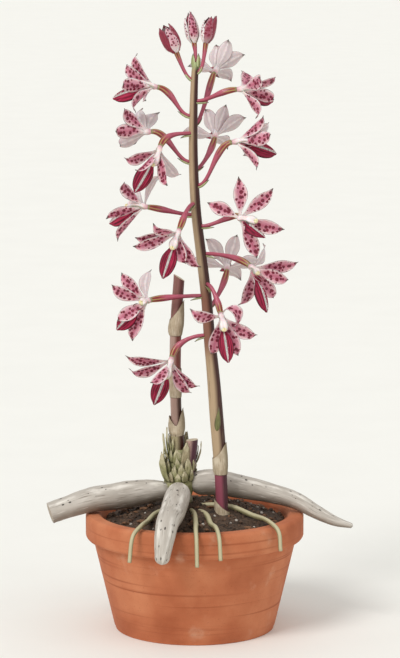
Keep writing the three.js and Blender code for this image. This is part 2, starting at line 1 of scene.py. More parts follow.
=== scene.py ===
# A blotched hyacinth orchid in a plain terracotta pot. The plant is dressed in living petals, stems
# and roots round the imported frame. Tables and lines are in millimetres, +Z up, and the plant faces
# -Y. Meshes are in metres.
import math
import random

import bpy
import numpy as np
from mathutils import Matrix, Vector, noise


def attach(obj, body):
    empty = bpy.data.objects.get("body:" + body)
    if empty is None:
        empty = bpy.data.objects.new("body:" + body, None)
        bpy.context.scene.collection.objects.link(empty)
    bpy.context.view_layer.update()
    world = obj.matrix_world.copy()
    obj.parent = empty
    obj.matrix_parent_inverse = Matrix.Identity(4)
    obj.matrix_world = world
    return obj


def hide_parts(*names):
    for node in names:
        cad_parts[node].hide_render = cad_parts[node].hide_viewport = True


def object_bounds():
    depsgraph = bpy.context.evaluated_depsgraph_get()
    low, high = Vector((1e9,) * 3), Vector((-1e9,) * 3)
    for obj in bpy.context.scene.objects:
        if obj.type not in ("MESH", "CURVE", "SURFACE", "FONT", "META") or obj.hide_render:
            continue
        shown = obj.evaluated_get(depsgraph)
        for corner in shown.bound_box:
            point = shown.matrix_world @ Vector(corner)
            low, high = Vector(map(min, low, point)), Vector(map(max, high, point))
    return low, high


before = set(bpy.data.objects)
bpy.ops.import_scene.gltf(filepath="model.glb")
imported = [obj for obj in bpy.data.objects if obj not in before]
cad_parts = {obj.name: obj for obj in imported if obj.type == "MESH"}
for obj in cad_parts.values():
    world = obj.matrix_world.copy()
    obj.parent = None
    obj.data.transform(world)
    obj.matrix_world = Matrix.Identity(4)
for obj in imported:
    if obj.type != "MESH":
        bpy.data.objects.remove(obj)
cad_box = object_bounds()
bpy.ops.object.select_all(action="DESELECT")

# Driving dimensions. A bloom's petals, lip and stalk meet about its heart.
MM = 0.001
POT = {
    "height": 56, "rim_radius": 52, "rim_depth": 12, "rim_lip": 3.5, "base_radius": 38, "wall": 4, "floor": 5,
}
DRAIN = {"count": 3, "radius": 3.5, "circle": 20}
SOIL = {"edge": POT["height"] - 4.5, "dome": 8.5, "roughness": 0.5, "radius": 43.2, "floor": 5.6}
TEPAL = {"reach": 20, "width": 6.9, "thick": 0.55, "cup": 1.5, "channel": 0.75, "hook": 2}
LIP = {"reach": 22, "width": 8.2, "thick": 0.7, "keel": 1.5, "puff": 0.9, "band": 0.13, "hairs": 90}
PEDICEL = {"radii": [0.85, 0.92, 0.95, 1.2, 1.55, 1.5, 1.2], "ovary": 8, "ribs": 6}
BLOTCH = {"apart": 2.1, "shaken": 0.7}
# A thick root's radius, the turn of the shoulders where its painted highlight lies, and how far apart its
# pores lie round it and along it.
ROOT = {"radius": 5.5, "shoulder": 0.62, "pores_round": 4.2, "pores_along": 6.4}
COLUMN = {
    "run": [(0, 0), (3, -0.8), (5.6, -0.9), (7.2, 0.2), (7.8, 1.4)],
    "radii": [1.1, 1.5, 1.15, 1.1, 1.15, 0.9],
    "wide": [1, 1, 1.05, 1.35, 1.9, 2.1], "deep": [1, 1, 0.95, 0.8, 0.7, 0.5],
}
ANTHER_CAP = {"long": 1.5, "wide": 1.5, "deep": 1.0, "sunk": 0.5, "notch": 0.12}
HORN = {"bends": [(0, 0), (1.2, 1.2), (1.4, 3), (0, 4.6)], "width": 1.7, "thick": 0.4, "length": 5}
HAIR = {"radius": 0.17, "length": 1.3, "sunk": 0.2}
BRACT = {"length": 6.4, "width": 2.5, "thick": 0.5, "channel": 0.7}
BUD_BRACT = {"width": 2.6, "thick": 0.5, "channel": 0.7}
SCALE_LEAF = {"thick": 0.35, "spread": 1.2}
# From a bloom's heart back to the end of its stalk.
HEART = 1.7
# How far the seams between the bands of a stem wander.
WANDER = 4
# How far one leaf's pattern lies from the next one's.
APART = 40
# How much of its blotches a tepal's back hides.
FAINT = 0.55
# How deep a scale leaf crinkles, as a share of its width.
CRINKLE = 0.12
# How much finer the blotches are on a bud.
BUD_GRAIN = 1.45
# How far a blade's broad side is turned to the front or the back.
TWIST = 0.5
FRONT = Vector((0, -1, 0))
UP = Vector((0, 0, 1))
# The side on which stalks and thin roots carry a painted highlight, with painted shade on the far side.
LIT = Vector((0, -0.55, 0.83))

# What lies on the soil: how many, their sizes, their form, and their dark and light colours.
LITTER = [
    ("crumb", 420, (0.5, 1.3), (1, 1, 0.8), "#2a1e16", "#6a5240"),
    ("bark_chip", 90, (1.4, 2.8), (1, 0.6, 0.35), "#3a261a", "#7d5a40"),
    ("grit", 60, (0.45, 0.9), (1, 0.9, 0.8), "#8a8178", "#cfc8bd"),
]

# The soft light from all round, and its strength.
SKY = {"colour": "#f8f8f7", "strength": 0.76}
# Each lamp: its turn in degrees, its strength, and its width in degrees.
LAMPS = {"key": ((46, 0, -38), 1.45, 22), "fill": ((62, 0, 50), 0.2, 60)}
# Lens and sensor in millimetres, the tilt in degrees, and the distance, the aim's height and the
# farthest sight in metres.
CAMERA = {"lens": 162, "sensor": 36, "tilt": 9, "distance": 1.4, "aim": 0.144, "far": 100}

FLOWER_STEM = {
    "places": [
        (13.4, -13, 30), (13.2, -13, 54), (12, -11.5, 83), (10.4, -9.5, 103), (8.8, -7.2, 123),
        (7.2, -5.2, 139), (5.6, -3.4, 159), (3.2, -1.8, 179), (0.8, -0.6, 199), (-0.4, 0, 219),
        (-0.6, 0, 239), (0, 0, 262), (0.6, 0, 270),
    ],
    "radii": [2.9, 2.9, 2.9, 3.2, 3.2, 2.9, 2.6, 2.5, 2.4, 2.3, 2.1, 1.9, 1.6],
}
OLD_STEM = {
    "places": [(-7.6, 4, 67), (-8.2, 4, 87), (-9, 4, 110), (-9.2, 4, 130), (-8.6, 4, 150), (-7.3, 4, 168)],
    "radii": [2.5, 2.7, 2.6, 2.7, 2.7, 2.6],
}
STUB = {"places": [(-3.6, 1.5, 68), (-2.2, 1.2, 80), (-1.2, 1, 90.5)], "radii": [2.4, 2.8, 2.8]}

# The line of the small scale pressed to the flowering stem, and of the two bracts at its top, each as
# a foot, two handles and a tip.
PRESSED_SCALE = {
    "foot": 97, "bends": [(-0.3, -2.9, 0.4), (-0.1, -3.8, 4), (0.3, -3.6, 8.4), (0.6, -3, 12.2)],
    "width": 3, "thick": 0.6, "channel": -0.5,
}
TOP_BRACT = {
    "bends": [(1.5, -0.54, -2.6), (2.2, -0.72, -0.4), (2.1, -0.48, 2), (1.2, -0.18, 4)],
    "width": 3.2, "thick": 0.5, "channel": 1.1,
}

# Each sheath: its stem, the height of its foot, the heights of its mouth at equal turns from the
# front over the right, how far it stands off its stem, and how far it bulges.
SHEATHS = {
    "flower_foot": {"stem": FLOWER_STEM, "foot": 44, "mouth": [61.4, 59.4, 58.6, 59, 60, 63, 65, 64],
                    "grow": 0.8, "bulge": 0.1},
    "flower_middle": {"stem": FLOWER_STEM, "foot": 76.4, "mouth": [87.2, 90.8, 92, 90, 87, 85, 84, 84.8],
                      "grow": 0.5, "bulge": 0.12},
    "old_upper": {"stem": OLD_STEM, "foot": 140.2, "mouth": [152, 156, 157.6, 155, 152, 149, 147.6, 149],
                  "grow": 0.6, "bulge": 0.45},
    "old_middle": {"stem": OLD_STEM, "foot": 110.4, "mouth": [125.6, 124.6, 124.2, 125, 126, 127, 127, 126.4],
                   "grow": 0.35, "bulge": 0.1},
    "old_lower": {"stem": OLD_STEM, "foot": 91.6, "mouth": [97.4, 103.4, 105.6, 103, 100, 101, 101.6, 99.6],
                  "grow": 0.9, "bulge": 0.5},
    "old_foot": {"stem": OLD_STEM, "foot": 80, "mouth": [92.4] * 8,
                 "grow": 0.7, "bulge": 0},
}

# How a sheath's skin climbs to the mouth, and how far it stands off the stem, at stages along it.
SHEATH_SKIN = {
    "stages": [0, 0.04, 0.08, 0.3, 0.86, 0.91, 0.95, 1],
    "climbs": [0, 0, 0.03, 0.27, 0.97, 1, 0.97, 0.8],
    "stands": [-0.3, 0.35, 0.55, 1, 1, 0.9, 0.55, -0.1],
    "mouth": 0.91,
}

# The low cone that the scale leaves grow from, and the scales at its sides and back.
CROWN = {
    "axis": (-7.2, 3.2, 0), "foot": 61, "height": 24.5,
    "heights": [61, 63.5, 67, 70.5, 83.5, 86], "radii": [4.6, 6, 7, 7.2, 3.8, 3],
    "scales": 40, "turn": 2.4, "first": 69, "climb": 13,
}
# Front scale leaves of the crown: foot and tip as (across, height), and width.
FRONT_SCALES = [
    ((-11.8, 82), (-13.3, 96), 2.3), ((-12.2, 80.4), (-15.3, 93.3), 3.6), ((-13.2, 70.6), (-15.9, 84.6), 5.6),
    ((-10.8, 84), (-10.3, 91), 2.2), ((-11.2, 79.6), (-11.3, 85.6), 2.4), ((-8.4, 78.6), (-8.6, 86.4), 2.9),
    ((-6.5, 79), (-6.9, 84.6), 2.3), ((-8, 75.4), (-8.3, 82), 2.4), ((-3.4, 72.6), (-3.2, 82.2), 3.4),
    ((-1, 74), (-0.2, 82.6), 2.5), ((-9.8, 72), (-9.8, 78.4), 3), ((-6.4, 72.2), (-6.4, 79.2), 3.2),
    ((-12.2, 74), (-12.8, 80.6), 3), ((-5, 77.4), (-3.8, 89.8), 3.8), ((1, 79), (3.2, 88.6), 2.9),
    ((0.6, 80), (1.7, 87.2), 1.9), ((-4.6, 70.6), (-4.8, 76.2), 2.8), ((-11.4, 70.6), (-11.6, 75.6), 3.2),
    ((-8.2, 70), (-8, 74.8), 3), ((-1.6, 70.8), (-1.2, 76.6), 2.8), ((-13.6, 76), (-14.6, 88.4), 2.6),
]

# Each thick root: its line, its radii, and whether its foot and its tip are rounded off.
THICK_ROOTS = {
    "left": {
        "places": [
            (-11.6, 1.4, 66.4), (-15.2, 1, 66), (-25, 0, 65.2), (-38, -2, 63.6), (-49, -4, 62.4),
            (-60, -7, 59.6), (-68.5, -9, 57),
        ],
        "radii": [4, 5.6, 6.4, 6.3, 5.9, 5.3, 5.1],
        "domes": (True, False),
    },
    "right": {
        "places": [
            (-2.4, 2.6, 68.8), (8, 2.6, 69.6), (22, 1.5, 67.6), (36, 0, 64.8), (48, -2, 61.6), (58, -5, 56.6),
            (67, -9, 53), (75, -13, 51.6),
        ],
        "radii": [5.6, 6.2, 5.7, 5.3, 4.6, 4.1, 3.4, 2.5, 1.2],
        "domes": (True, True),
    },
    "front": {
        "places": [
            (-6.8, -6.5, 67), (-8, -15, 66.5), (-9.5, -28, 64), (-11, -41, 62.4), (-12.6, -51.5, 61),
            (-14, -60, 54), (-15, -64, 45),
        ],
        "radii": [5.2, 6, 6.1, 5.9, 5.6, 5.1, 4.4, 3.2],
        "domes": (True, True),
    },
}
THIN_ROOT_RADII = [1.5, 1.35, 1.3, 1.2, 1, 0.95]
ROOTSTOCK = {"places": [(-7.2, 2.6, 54), (-7.2, 2.6, 60), (-7.2, 2.6, 66)], "radii": [3.5, 6.2, 5.2]}
THIN_ROOTS = [
    [(-9, 0, 58), (-18, -14, 58), (-22, -29, 57.4), (-25, -43.6, 58.2), (-28.4, -49.4, 55), (-30, -51, 43)],
    [(-5, 0, 57), (-0.6, -15, 58.6), (0.6, -32, 57.2), (0.6, -49, 58.2), (0.9, -55, 55), (1.2, -56, 42)],
    [(-4, 0, 57), (5, -17, 58.4), (7.6, -33, 57.2), (10.2, -48, 58.2), (11.4, -54.4, 55), (12, -55.6, 45)],
    [
        (-4, 1, 57), (8, -4.8, 60), (18, -8, 59.6), (27, -18, 58), (35, -33.6, 58.2), (39, -39.4, 55),
        (40, -40.6, 46),
    ],
]

# Each bloom: the height at which its stalk leaves the stem, its heart, the way it faces, and the
# tips of its lip and tepals, as (across, up, depth) from the heart. Depth is the share of the length
# left over that leans to the back, or to the front where it is negative. The tepals are counted from
# 0: white lists those with no blotches, plain_backs says that no back has any, and looks gives the
# way that a tepal with a twisted foot turns its inner face. rolled gives the curve of a tepal that
# rolls back, as its foot, two handles and tip. lip_looks turns the lip as looks does, lip_width is the
# width of a narrower lip, column_way is the way of a column that bends aside, and column_share is its
# share of the full length.
BLOOMS = [
    {
        "foot": 245, "heart": (-18.9, -3, 258.8), "faces": (-0.95, -0.1, 0.15), "lip": (-17.6, -6, 0.1),
        "tips": [(-10, 15.2, 1), (-14.4, 10, 0.9), (-16.2, 2, -1), (-10.4, -10.8, -0.9), (-5, -8, 1)],
    },
    {
        "foot": 241, "heart": (9.6, 17, 264.3), "faces": (0.25, 0.85, 0.45), "lip": (-2, -3, 1),
        "tips": [(1.2, 13.4, 0.7), (7, 15.9, 0.6), (14.7, 8.2, 0.8), (8.3, -4.3, 0.4), (-12.6, 2.5, 0.7)],
        "plain_backs": True,
    },
    {
        "foot": 251.9, "heart": (21.2, -5, 257.7), "faces": (0.95, 0.1, 0.05), "lip": (14, -7, 0.9),
        "tips": [(10, 7, -1), (18.4, 5.6, 0.6), (17.8, -4.3, -0.7), (9.5, -12.9, -0.6), (2.4, 7.4, 1)],
        "looks": {4: (0.45, -0.3, 0.85)},
    },
    {
        "foot": 223.4, "heart": (-21.6, -1, 237.5), "faces": (-0.9, 0.25, -0.1), "lip": (-11, -5, 1),
        "tips": [(-12, 11.6, -0.7), (-16, 0.8, -0.9), (-15.3, -6.8, -0.2), (-4.5, 9.5, 1), (4, 7.5, 1)],
        "white": [2, 3, 4], "looks": {3: (-0.4, -0.4, 0.8), 4: (0.2, -0.4, 0.9)},
    },
    {
        "foot": 236.9, "heart": (-16.4, -12, 230.4), "faces": (-0.3, -0.6, -0.75), "lip": (-11, -19, 0.1),
        "tips": [(-16.9, -5.2, -0.4), (-11.6, -10, -1), (3.4, -17.4, -1), (9.5, -14.2, 0.6), (-3, -9, 1)],
        "white": [3],
    },
    {
        "foot": 219.6, "heart": (9.6, 17, 233.6), "faces": (0.1, 0.85, 0.45), "lip": (-2, -4, 1),
        "tips": [(-4.4, 13.4, 0.7), (5.5, 15.2, 0.6), (15.2, 9.7, 0.6), (-16, 1.4, 0.9), (6.4, -6.4, 0.6)],
        "plain_backs": True,
    },
    {
        "foot": 212.4, "heart": (19.1, -5, 233.2), "faces": (0.95, 0, 0.1), "lip": (17.7, -6.7, 0.8),
        "tips": [(14.1, 12.6, -0.3), (17.4, 8.9, 1), (18, 4.3, -0.9), (10.7, -12.2, -0.8), (6, -8, 1)],
        "white": [1],
    },
    {
        "foot": 198.5, "heart": (-23.5, 0, 202.2), "faces": (-0.95, 0.1, 0.1), "lip": (-15.2, -9.6, 0.9),
        "tips": [(-11.5, 12.6, -0.6), (-19.1, -5.4, -1), (-14, -16.4, 0), (-2.2, 9, 1), (7, 14.6, 0.4)],
        "white": [3, 4],
    },
    {
        "foot": 203.8, "heart": (-7.6, -16, 192), "faces": (-0.3, -0.6, -0.7), "lip": (-6.7, -20, -0.5),
        "tips": [
            (-12, 4.5, -0.7), (-20.4, -3.2, 0), (-21.5, -7.4, 0), (3.2, -15.4, -0.1), (10.2, -17.6, 0.3),
        ],
        "lip_width": 7.6,
    },
    {
        "foot": 193.2, "heart": (21.1, -8, 197.7), "faces": (0.2, -0.95, -0.2), "lip": (11.2, -7.4, -0.6),
        "tips": [(-0.3, 19.1, 0), (16, 13.4, 0), (21.3, -5.7, 0), (8.6, -19.4, 0), (-15, 7, 0)],
        "lip_looks": (0.6, -0.55, 0.55), "column_way": (0.8, -0.6, -0.05),
    },
    {
        "foot": 155, "heart": (15.4, 16, 170.6), "faces": (0.05, 0.85, 0.45), "lip": (1, -5, 1),
        "tips": [(-10.2, 14.7, 0.7), (5, 16.6, 0.6), (-17.9, 2.6, 0.6), (17, 2, 0.6), (7, -6, 0.6)],
        "plain_backs": True,
    },
    {
        "foot": 180.2, "heart": (26.9, -4, 173.8), "faces": (0.6, -0.65, -0.45), "lip": (6, -19.4, -0.8),
        "tips": [(6.7, 8.5, 1), (22.5, 2.2, 0), (18.5, -6.4, -0.7), (11.5, -15.9, 0.9), (-5.4, -19, 0.7)],
        "white": [0], "lip_looks": (0.75, -0.6, 0.2), "column_share": 0.5,
    },
    {
        "foot": 160.5, "heart": (-22.2, -7, 158.5), "faces": (-0.6, -0.75, -0.05), "lip": (-13.4, -13.7, 0.1),
        "tips": [(0.6, 13.1, 0.7), (-13, 12, 0.9), (-17.5, 8, -0.6), (-15, -8.9, -0.6), (-8, -19.4, 0)],
        "white": [0], "column_share": 0.5,
    },
    {
        "foot": 166.2, "heart": (12.5, -17, 152.8), "faces": (0.15, -0.8, -0.55), "lip": (3, -19.5, -0.9),
        "tips": [
            (-14.4, 3.2, -0.5), (10.5, 1, -0.8), (17.2, -10.2, 0.2), (-4.6, -19.4, 0.9), (8.2, -19.7, 0),
        ],
        "looks": {1: (0.3, -0.6, 0.75)}, "lip_width": 7.2,
        "rolled": {1: [(0.6, 0, 0.6), (2.5, -0.6, 7.5), (13, -1.5, 3), (6, -2.5, -5.7)]},
    },
    {
        "foot": 141.9, "heart": (-11.2, -9, 130.4), "faces": (-0.25, -0.5, -0.85), "lip": (-7.5, -20, 0.3),
        "tips": [(-21.7, 1.5, 0), (-20.4, -6, 0), (-9.9, -9.7, -1), (13.4, -13.4, 0), (9.4, -17.2, 0.7)],
    },
]

# Each bud: the height of its stalk's foot, the way the stalk leaves the stem, its neck and
# tip, and its petals. A petal has a turn round the bud from the front over the right, the turn that
# it covers, its share of the length, how far its tip stands off, and its tint: how crimson and how
# white it is.
BUDS = {
    "left": {
        "foot": 262.2, "out": (-1, -0.2, 0),
        "neck": (-8.5, -1.5, 274.7), "tip": (-14.4, -2, 287), "girth": 3.6,
        "petals": [
            (-75, 90, 0.93, 0.4, 0, 0.9), (75, 105, 1, 0.5, 0.7, 0), (180, 120, 1, 0.2, 0.6, 0),
            (-38, 66, 1, 1.2, 1, 0), (16, 74, 0.94, -0.2, 0, 0.35),
        ],
    },
    "top": {
        "foot": 270, "out": (0, 0, 1),
        "neck": (-0.2, 0, 279), "tip": (-2.4, 0, 293.7), "girth": 2.7,
        "petals": [
            (14, 118, 1, -1, 0, 0), (-76, 84, 0.8, 0.9, 0, 0.7), (130, 130, 0.97, -1.1, 0, 0.3),
            (-130, 130, 0.95, -1.1, 0.2, 0),
        ],
    },
    "right": {
        "foot": 265.6, "out": (1, -0.3, 0),
        "neck": (5.3, -1, 279), "tip": (8, -1.4, 291.8), "girth": 2.5,
        "petals": [
            (60, 90, 1.02, 1.1, 0.9, 0), (-95, 70, 0.78, 1.2, 0, 0.8), (-55, 60, 0.7, 0.6, 0, 0.9),
            (0, 100, 0.97, 0.1, 0.6, 0), (130, 110, 0.98, 0.5, 0.5, 0), (-150, 110, 0.9, 0.2, 0.2, 0),
        ],
    },
}


# Lines

def bezier(a, b, c, d, t):
    """A place on a cubic curve."""
    u = 1 - t
    return a * u**3 + b * (3 * u * u * t) + c * (3 * u * t * t) + d * t**3


def evenly(line, count):
    """The same line in count steps of equal length."""
    flat = np.array([tuple(place) for place in line])
    run = np.concatenate([[0], np.cumsum(np.linalg.norm(np.diff(flat, axis=0), axis=1))])
    stops = np.linspace(0, run[-1], count + 1)
    return [Vector(place) for place in zip(*(np.interp(stops, run, flat[:, k]) for k in range(3)))]


def through(places, count):
    """A smooth line through the places, in count steps of equal length."""
    places = [Vector(place) for place in places]
    knots = [2 * places[0] - places[1], *places, 2 * places[-1] - places[-2]]
    line = []
    for a, b, c, d in zip(knots, knots[1:], knots[2:], knots[3:]):
        first, middle, last = ((q - p).length ** 0.5 for p, q in ((a, b), (b, c), (c, d)))
        leave = ((b - a) / first - (c - a) / (first + middle) + (c - b) / middle) * middle
        arrive = ((c - b) / middle - (d - b) / (middle + last) + (d - c) / last) * middle
        line += [bezier(b, b + leave / 3, c - arrive / 3, c, i / 12) for i in range(12)]
    return evenly([*line, places[-1]], count)


def curve(bends, count):
    """A cubic curve from its foot, two handles and tip, in count steps of equal length."""
    return evenly([bezier(*bends, i / 40) for i in range(41)], count)


def span(line):
    """The length of a line."""
    return sum((b - a).length for a, b in zip(line, line[1:]))


def ways(line):
    """The way a line runs at each of its places."""
    return [(b - a).normalized() for a, b in zip([line[0], *line[:-1]], [*line[1:], line[-1]])]


def smooth(values, share):
    """A smooth run through evenly spaced values, at a share of its length."""
    along = min(max(share, 0), 1) * (len(values) - 1)
    k = min(int(along), len(values) - 2)
    before, after = values[max(k - 1, 0)], values[min(k + 2, len(values) - 1)]
    leave, arrive = (values[k + 1] - before) / 2, (after - values[k]) / 2
    return bezier(values[k], values[k] + leave / 3, values[k + 1] - arrive / 3, values[k + 1], along - k)


def rise(low, high, value):
    """0 below low, 1 above high, and smooth between."""
    share = min(max((value - low) / (high - low), 0), 1)
    return share * share * (3 - 2 * share)


def reach_to(tip, reach):
    """From the heart to a tip: the depth fills up what is left of the reach."""
    across, up, depth = tip
    left = math.sqrt(max(0, reach**2 - across**2 - up**2))
    return Vector((across, depth * left, up))


# Meshes

def skin(name, sides, rings, place):
    """A closed skin along a line. A ball's rows become its rings, and its poles close both ends.

    place(turn, t, girth) gives a corner's place and its marks: t runs from 0 to 1 along the line,
    turn is the angle round it, and girth is 0 at the poles and 1 on the rings.
    """
    bpy.ops.mesh.primitive_uv_sphere_add(segments=sides, ring_count=rings + 2, calc_uvs=False)
    piece = bpy.context.object
    piece.name = name
    lists = {}
    for corner in piece.data.vertices:
        row = round(math.acos(max(-1, min(1, -corner.co.z))) * (rings + 2) / math.pi)
        turn = math.atan2(corner.co.y, corner.co.x)
        girth = 0 if row in (0, rings + 2) else 1
        point, found = place(turn, min(max((row - 1) / rings, 0), 1), girth)
        corner.co = point * MM
        for mark, value in found.items():
            lists.setdefault(mark, []).append(value)
    for mark, values in lists.items():
        attribute = piece.data.attributes.new(mark, "FLOAT_VECTOR", "POINT")
        attribute.data.foreach_set("vector", np.ravel(values))
    bpy.ops.object.shade_smooth()
    return piece


def stalk(name, line, radii, sides, front, shape=None):
    """A round stalk along a line. Turn 0 looks to the front, and shape(turn, t) swells its skin."""
    count = len(line) - 1
    tangents = ways(line)
    length = span(line)

    def place(turn, t, girth):
        k = round(t * count)
        normal = (front - tangents[k] * front.dot(tangents[k])).normalized()
        side = tangents[k].cross(normal)
        radius = smooth(radii, t) * girth * (shape(turn, t) if shape else 1)
        out = normal * math.cos(turn) + side * math.sin(turn)
        found = {"round": (math.cos(turn), math.sin(turn), t * length), "share": (1 - girth, t, 0)}
        return line[k] + out * radius, found

    return skin(name, sides, count, place)


def arched(line, facing, width, outline, lift):
    """The middle of an arched leaf: at(u, t) gives a place on it, the way it faces, and its half width."""
    side = (line[-1] - line[0]).cross(facing).normalized()
    tangents = ways(line)
    count = len(line) - 1

    def at(u, t):
        k = min(int(t * count), count - 1)
        part = t * count - k
        normal = side.cross(tangents[k].lerp(tangents[k + 1], part)).normalized()
        half = width * outline(t) / 2
        return line[k].lerp(line[k + 1], part) + side * (half * u) + normal * lift(u, t), normal, half

    return at


def leaf(name, at, thick, length, seed, sides=24, rings=22, face=(0, 0, 0), back=None):
    """A thin leaf with rounded edges over its middle. face and back are the marks of its two sides."""
    back = face if back is None else back

    def place(turn, t, girth):
        u, depth = math.sin(turn) * girth, math.cos(turn)
        point, normal, half = at(u, t)
        found = {
            "leaf": (half * u + APART * seed, t * length, 0),
            "share": (u, t, abs(u)),
            "face": face if depth > -0.01 else back,
        }
        return point + normal * (depth * girth * thick / 2 * (1 - 0.5 * t)), found

    return skin(name, sides, rings, place)


def copies(model, spots):
    """Copies of a model at the given matrices, each with its own mesh, and the model gone."""
    made = []
    for spot in spots:
        copy = model.copy()
        copy.data = model.data.copy()
        copy.data.transform(spot)
        bpy.context.collection.objects.link(copy)
        made.append(copy)
    bpy.data.objects.remove(model)
    return made


def set_out(name, parts, node):
    """Joins the parts into one piece, which goes with the plant in the place of its CAD node."""
    bpy.ops.object.select_all(action="DESELECT")
    for part in parts:
        part.select_set(True)
    bpy.context.view_layer.objects.active = parts[0]
    if len(parts) > 1:
        bpy.ops.object.join()
    piece = bpy.context.object
    piece.name = name
    piece.data.name = name
    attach(piece, "root")
    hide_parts(node)


def dressed(part, material):
    """The part in one material."""
    part.data.materials.clear()
    part.data.materials.append(material)
    return part


# Materials. They read the marks of a skin: leaf is a place on a leaf in millimetres; round is the
# cosine and the sine of the turn on a stalk, and the way along it in millimetres; share is how far
# across and along a leaf or a stalk a place lies, and how far off a leaf's middle line; face is how
# pale, how crimson and how white a tepal is, or how dry a scale leaf is.

def paint(code):
    """An sRGB hex colour as linear red, green, blue and alpha."""
    channels = [int(code[k : k + 2], 16) / 255 for k in (1, 3, 5)]
    return (*(c / 12.92 if c <= 0.04045 else ((c + 0.055) / 1.055) ** 2.4 for c in channels), 1)


def add(tree, kind, inputs=None, stops=None, **settings):
    """Adds a node with its settings, its inputs as values or links, and a ramp's stops."""
    node = tree.nodes.new("ShaderNode" + kind)
    for name, value in settings.items():
        setattr(node, name, value)
    for name, value in (inputs or {}).items():
        if isinstance(value, bpy.types.NodeSocket):
            tree.links.new(value, node.inputs[name])
        else:
            node.inputs[name].default_value = value
    for k, (position, code) in enumerate(stops or ()):
        stop = node.color_ramp.elements[k] if k < 2 else node.color_ramp.elements.new(position)
        stop.position, stop.color = position, paint(code)
    return node


def finish(name, sockets):
    """A new material whose one surface shader has the given constant sockets, and its node tree."""
    material = bpy.data.materials.new(name)
    material.use_nodes = True
    for socket, value in sockets.items():
        material.node_tree.nodes["Principled BSDF"].inputs[socket].default_value = value
    return material, material.node_tree


def marks(tree, name):
    """A mark, and its three numbers."""
    mark = add(tree, "Attribute", attribute_name=name).outputs["Vector"]
    return mark, *add(tree, "SeparateXYZ", {0: mark}).outputs


def laid_over(tree, base, colour, share, low, high):
    """The base with a colour over it, from none of it where share is low to all of it where it is high."""
    amount = add(tree, "MapRange", {"Value": share, "From Min": low, "From Max": high},
                 interpolation_type="SMOOTHSTEP")
    return add(tree, "Mix", {0: amount.outputs[0], 6: base, 7: colour}, data_type="RGBA").outputs[2]


def washed(tree, colour, washes):
    """The colour under washes of others, each with its share and where it is none and full."""
    for code, share, low, high in washes:
        colour = laid_over(tree, colour, paint(code), share, low, high)
    return colour


def painted(tree, share, stops, washes):
    """Colours that follow share, under washes."""
    return washed(tree, add(tree, "ValToRGB", {0: share}, stops=stops).outputs["Color"], washes)


def worn(material, colour, relief=None, strength=0, depth=0):
    """The material with its colour, and with a relief of a strength and a depth in millimetres."""
    tree = material.node_tree
    shader = tree.nodes["Principled BSDF"]
    tree.links.new(colour, shader.inputs["Base Color"])
    if relief is not None:
        bump = add(tree, "Bump", {"Height": relief, "Strength": strength, "Distance": depth * MM})
        tree.links.new(bump.outputs[0], shader.inputs["Normal"])
    return material


def cloudy(tree, where, size, stretch=(1, 1, 1), detail=3):
    """Soft clouds about size across, in the units of where, drawn out by stretch."""
    scaled = add(tree, "Mapping", {"Vector": where, "Scale": tuple(1 / (size * s) for s in stretch)})
    return add(tree, "TexNoise", {"Vector": scaled.outputs[0], "Scale": 1, "Detail": detail}).outputs["Fac"]


def petal_tissue():
    """Living petal: thin moist tissue, so it is satin and lets light in a little. Dark blotches about
    1.2 mm across and 2.1 mm apart lie on a pink wash, and the tip is dry and grey."""
    material, tree = finish(
        "petal_tissue", {"Roughness": 0.5, "Subsurface Weight": 0.12, "Subsurface Scale": 0.0008}
    )
    place = add(tree, "Attribute", attribute_name="leaf").outputs["Vector"]
    _, _, along, off = marks(tree, "share")
    _, bare, crimson, white = marks(tree, "face")
    edge = {0: cloudy(tree, place, 2.2), 1: 0.6, 2: off}
    edge = add(tree, "Math", edge, operation="MULTIPLY_ADD").outputs[0]
    edge = add(tree, "Math", {0: edge, 1: 0.3}, operation="SUBTRACT").outputs[0]
    veins = cloudy(tree, place, 0.5, stretch=(1, 9, 1))
    colour = painted(tree, edge, [(0.0, "#bb647c"), (1.0, "#ebdedb"), (0.6, "#d39aa6")], [
        ("#aa4c66", veins, 0.52, 0.75), ("#eadcd9", along, 0.3, 0.08), ("#ece0de", white, 0.0, 1.0),
    ])

    shaken = add(tree, "TexNoise", {"Vector": place, "Scale": 0.9, "Detail": 1}).outputs["Color"]
    by = (BLOTCH["shaken"], BLOTCH["shaken"], 0)
    shaken = add(tree, "VectorMath", {0: shaken, 1: by, 2: place}, operation="MULTIPLY_ADD").outputs[0]
    cells = add(tree, "TexVoronoi", {"Vector": shaken, "Scale": 1 / BLOTCH["apart"], "Randomness": 0.8},
                voronoi_dimensions="2D")
    chance = add(tree, "SeparateXYZ", {0: cells.outputs["Color"]}).outputs[0]
    near = {0: chance, 1: -0.16, 2: cells.outputs["Distance"]}
    near = add(tree, "Math", near, operation="MULTIPLY_ADD").outputs[0]
    for share, full, none in ((off, 0.62, 0.9), (along, 0.3, 0.12)):
        away = add(tree, "MapRange", {"Value": share, "From Min": full, "From Max": none, "To Max": 0.3})
        near = add(tree, "Math", {0: near, 1: away.outputs[0]}, operation="ADD").outputs[0]
    near = add(tree, "Math", {0: white, 1: 0.12, 2: near}, operation="MULTIPLY_ADD").outputs[0]
    ink = add(tree, "ValToRGB", {0: cloudy(tree, place, 1.2)}, stops=[(0.3, "#550a1f"), (0.7, "#8b173a")])
    colour = laid_over(tree, colour, ink.outputs["Color"], near, 0.31, 0.24)
    deep = add(tree, "ValToRGB", {0: veins}, stops=[(0.3, "#6d1429"), (0.75, "#a02c46")]).outputs["Color"]
    colour = laid_over(tree, colour, deep, crimson, 0.0, 1.0)

    # The pale back, with a band of painted grey shade a little way off its middle line.
    pale = painted(tree, edge, [(0.0, "#e8dedc"), (1.0, "#ded2d0"), (0.28, "#c8b9ba")],
                   [("#bfadb1", veins, 0.52, 0.8)])
    colour = laid_over(tree, colour, pale, bare, 0.0, 1.0)
    colour = washed(tree, colour, [("#7d6c70", off, 0.9, 1.0), ("#5a534e", along, 0.87, 0.97)])
    return worn(material, colour, veins, 0.35, 0.25)


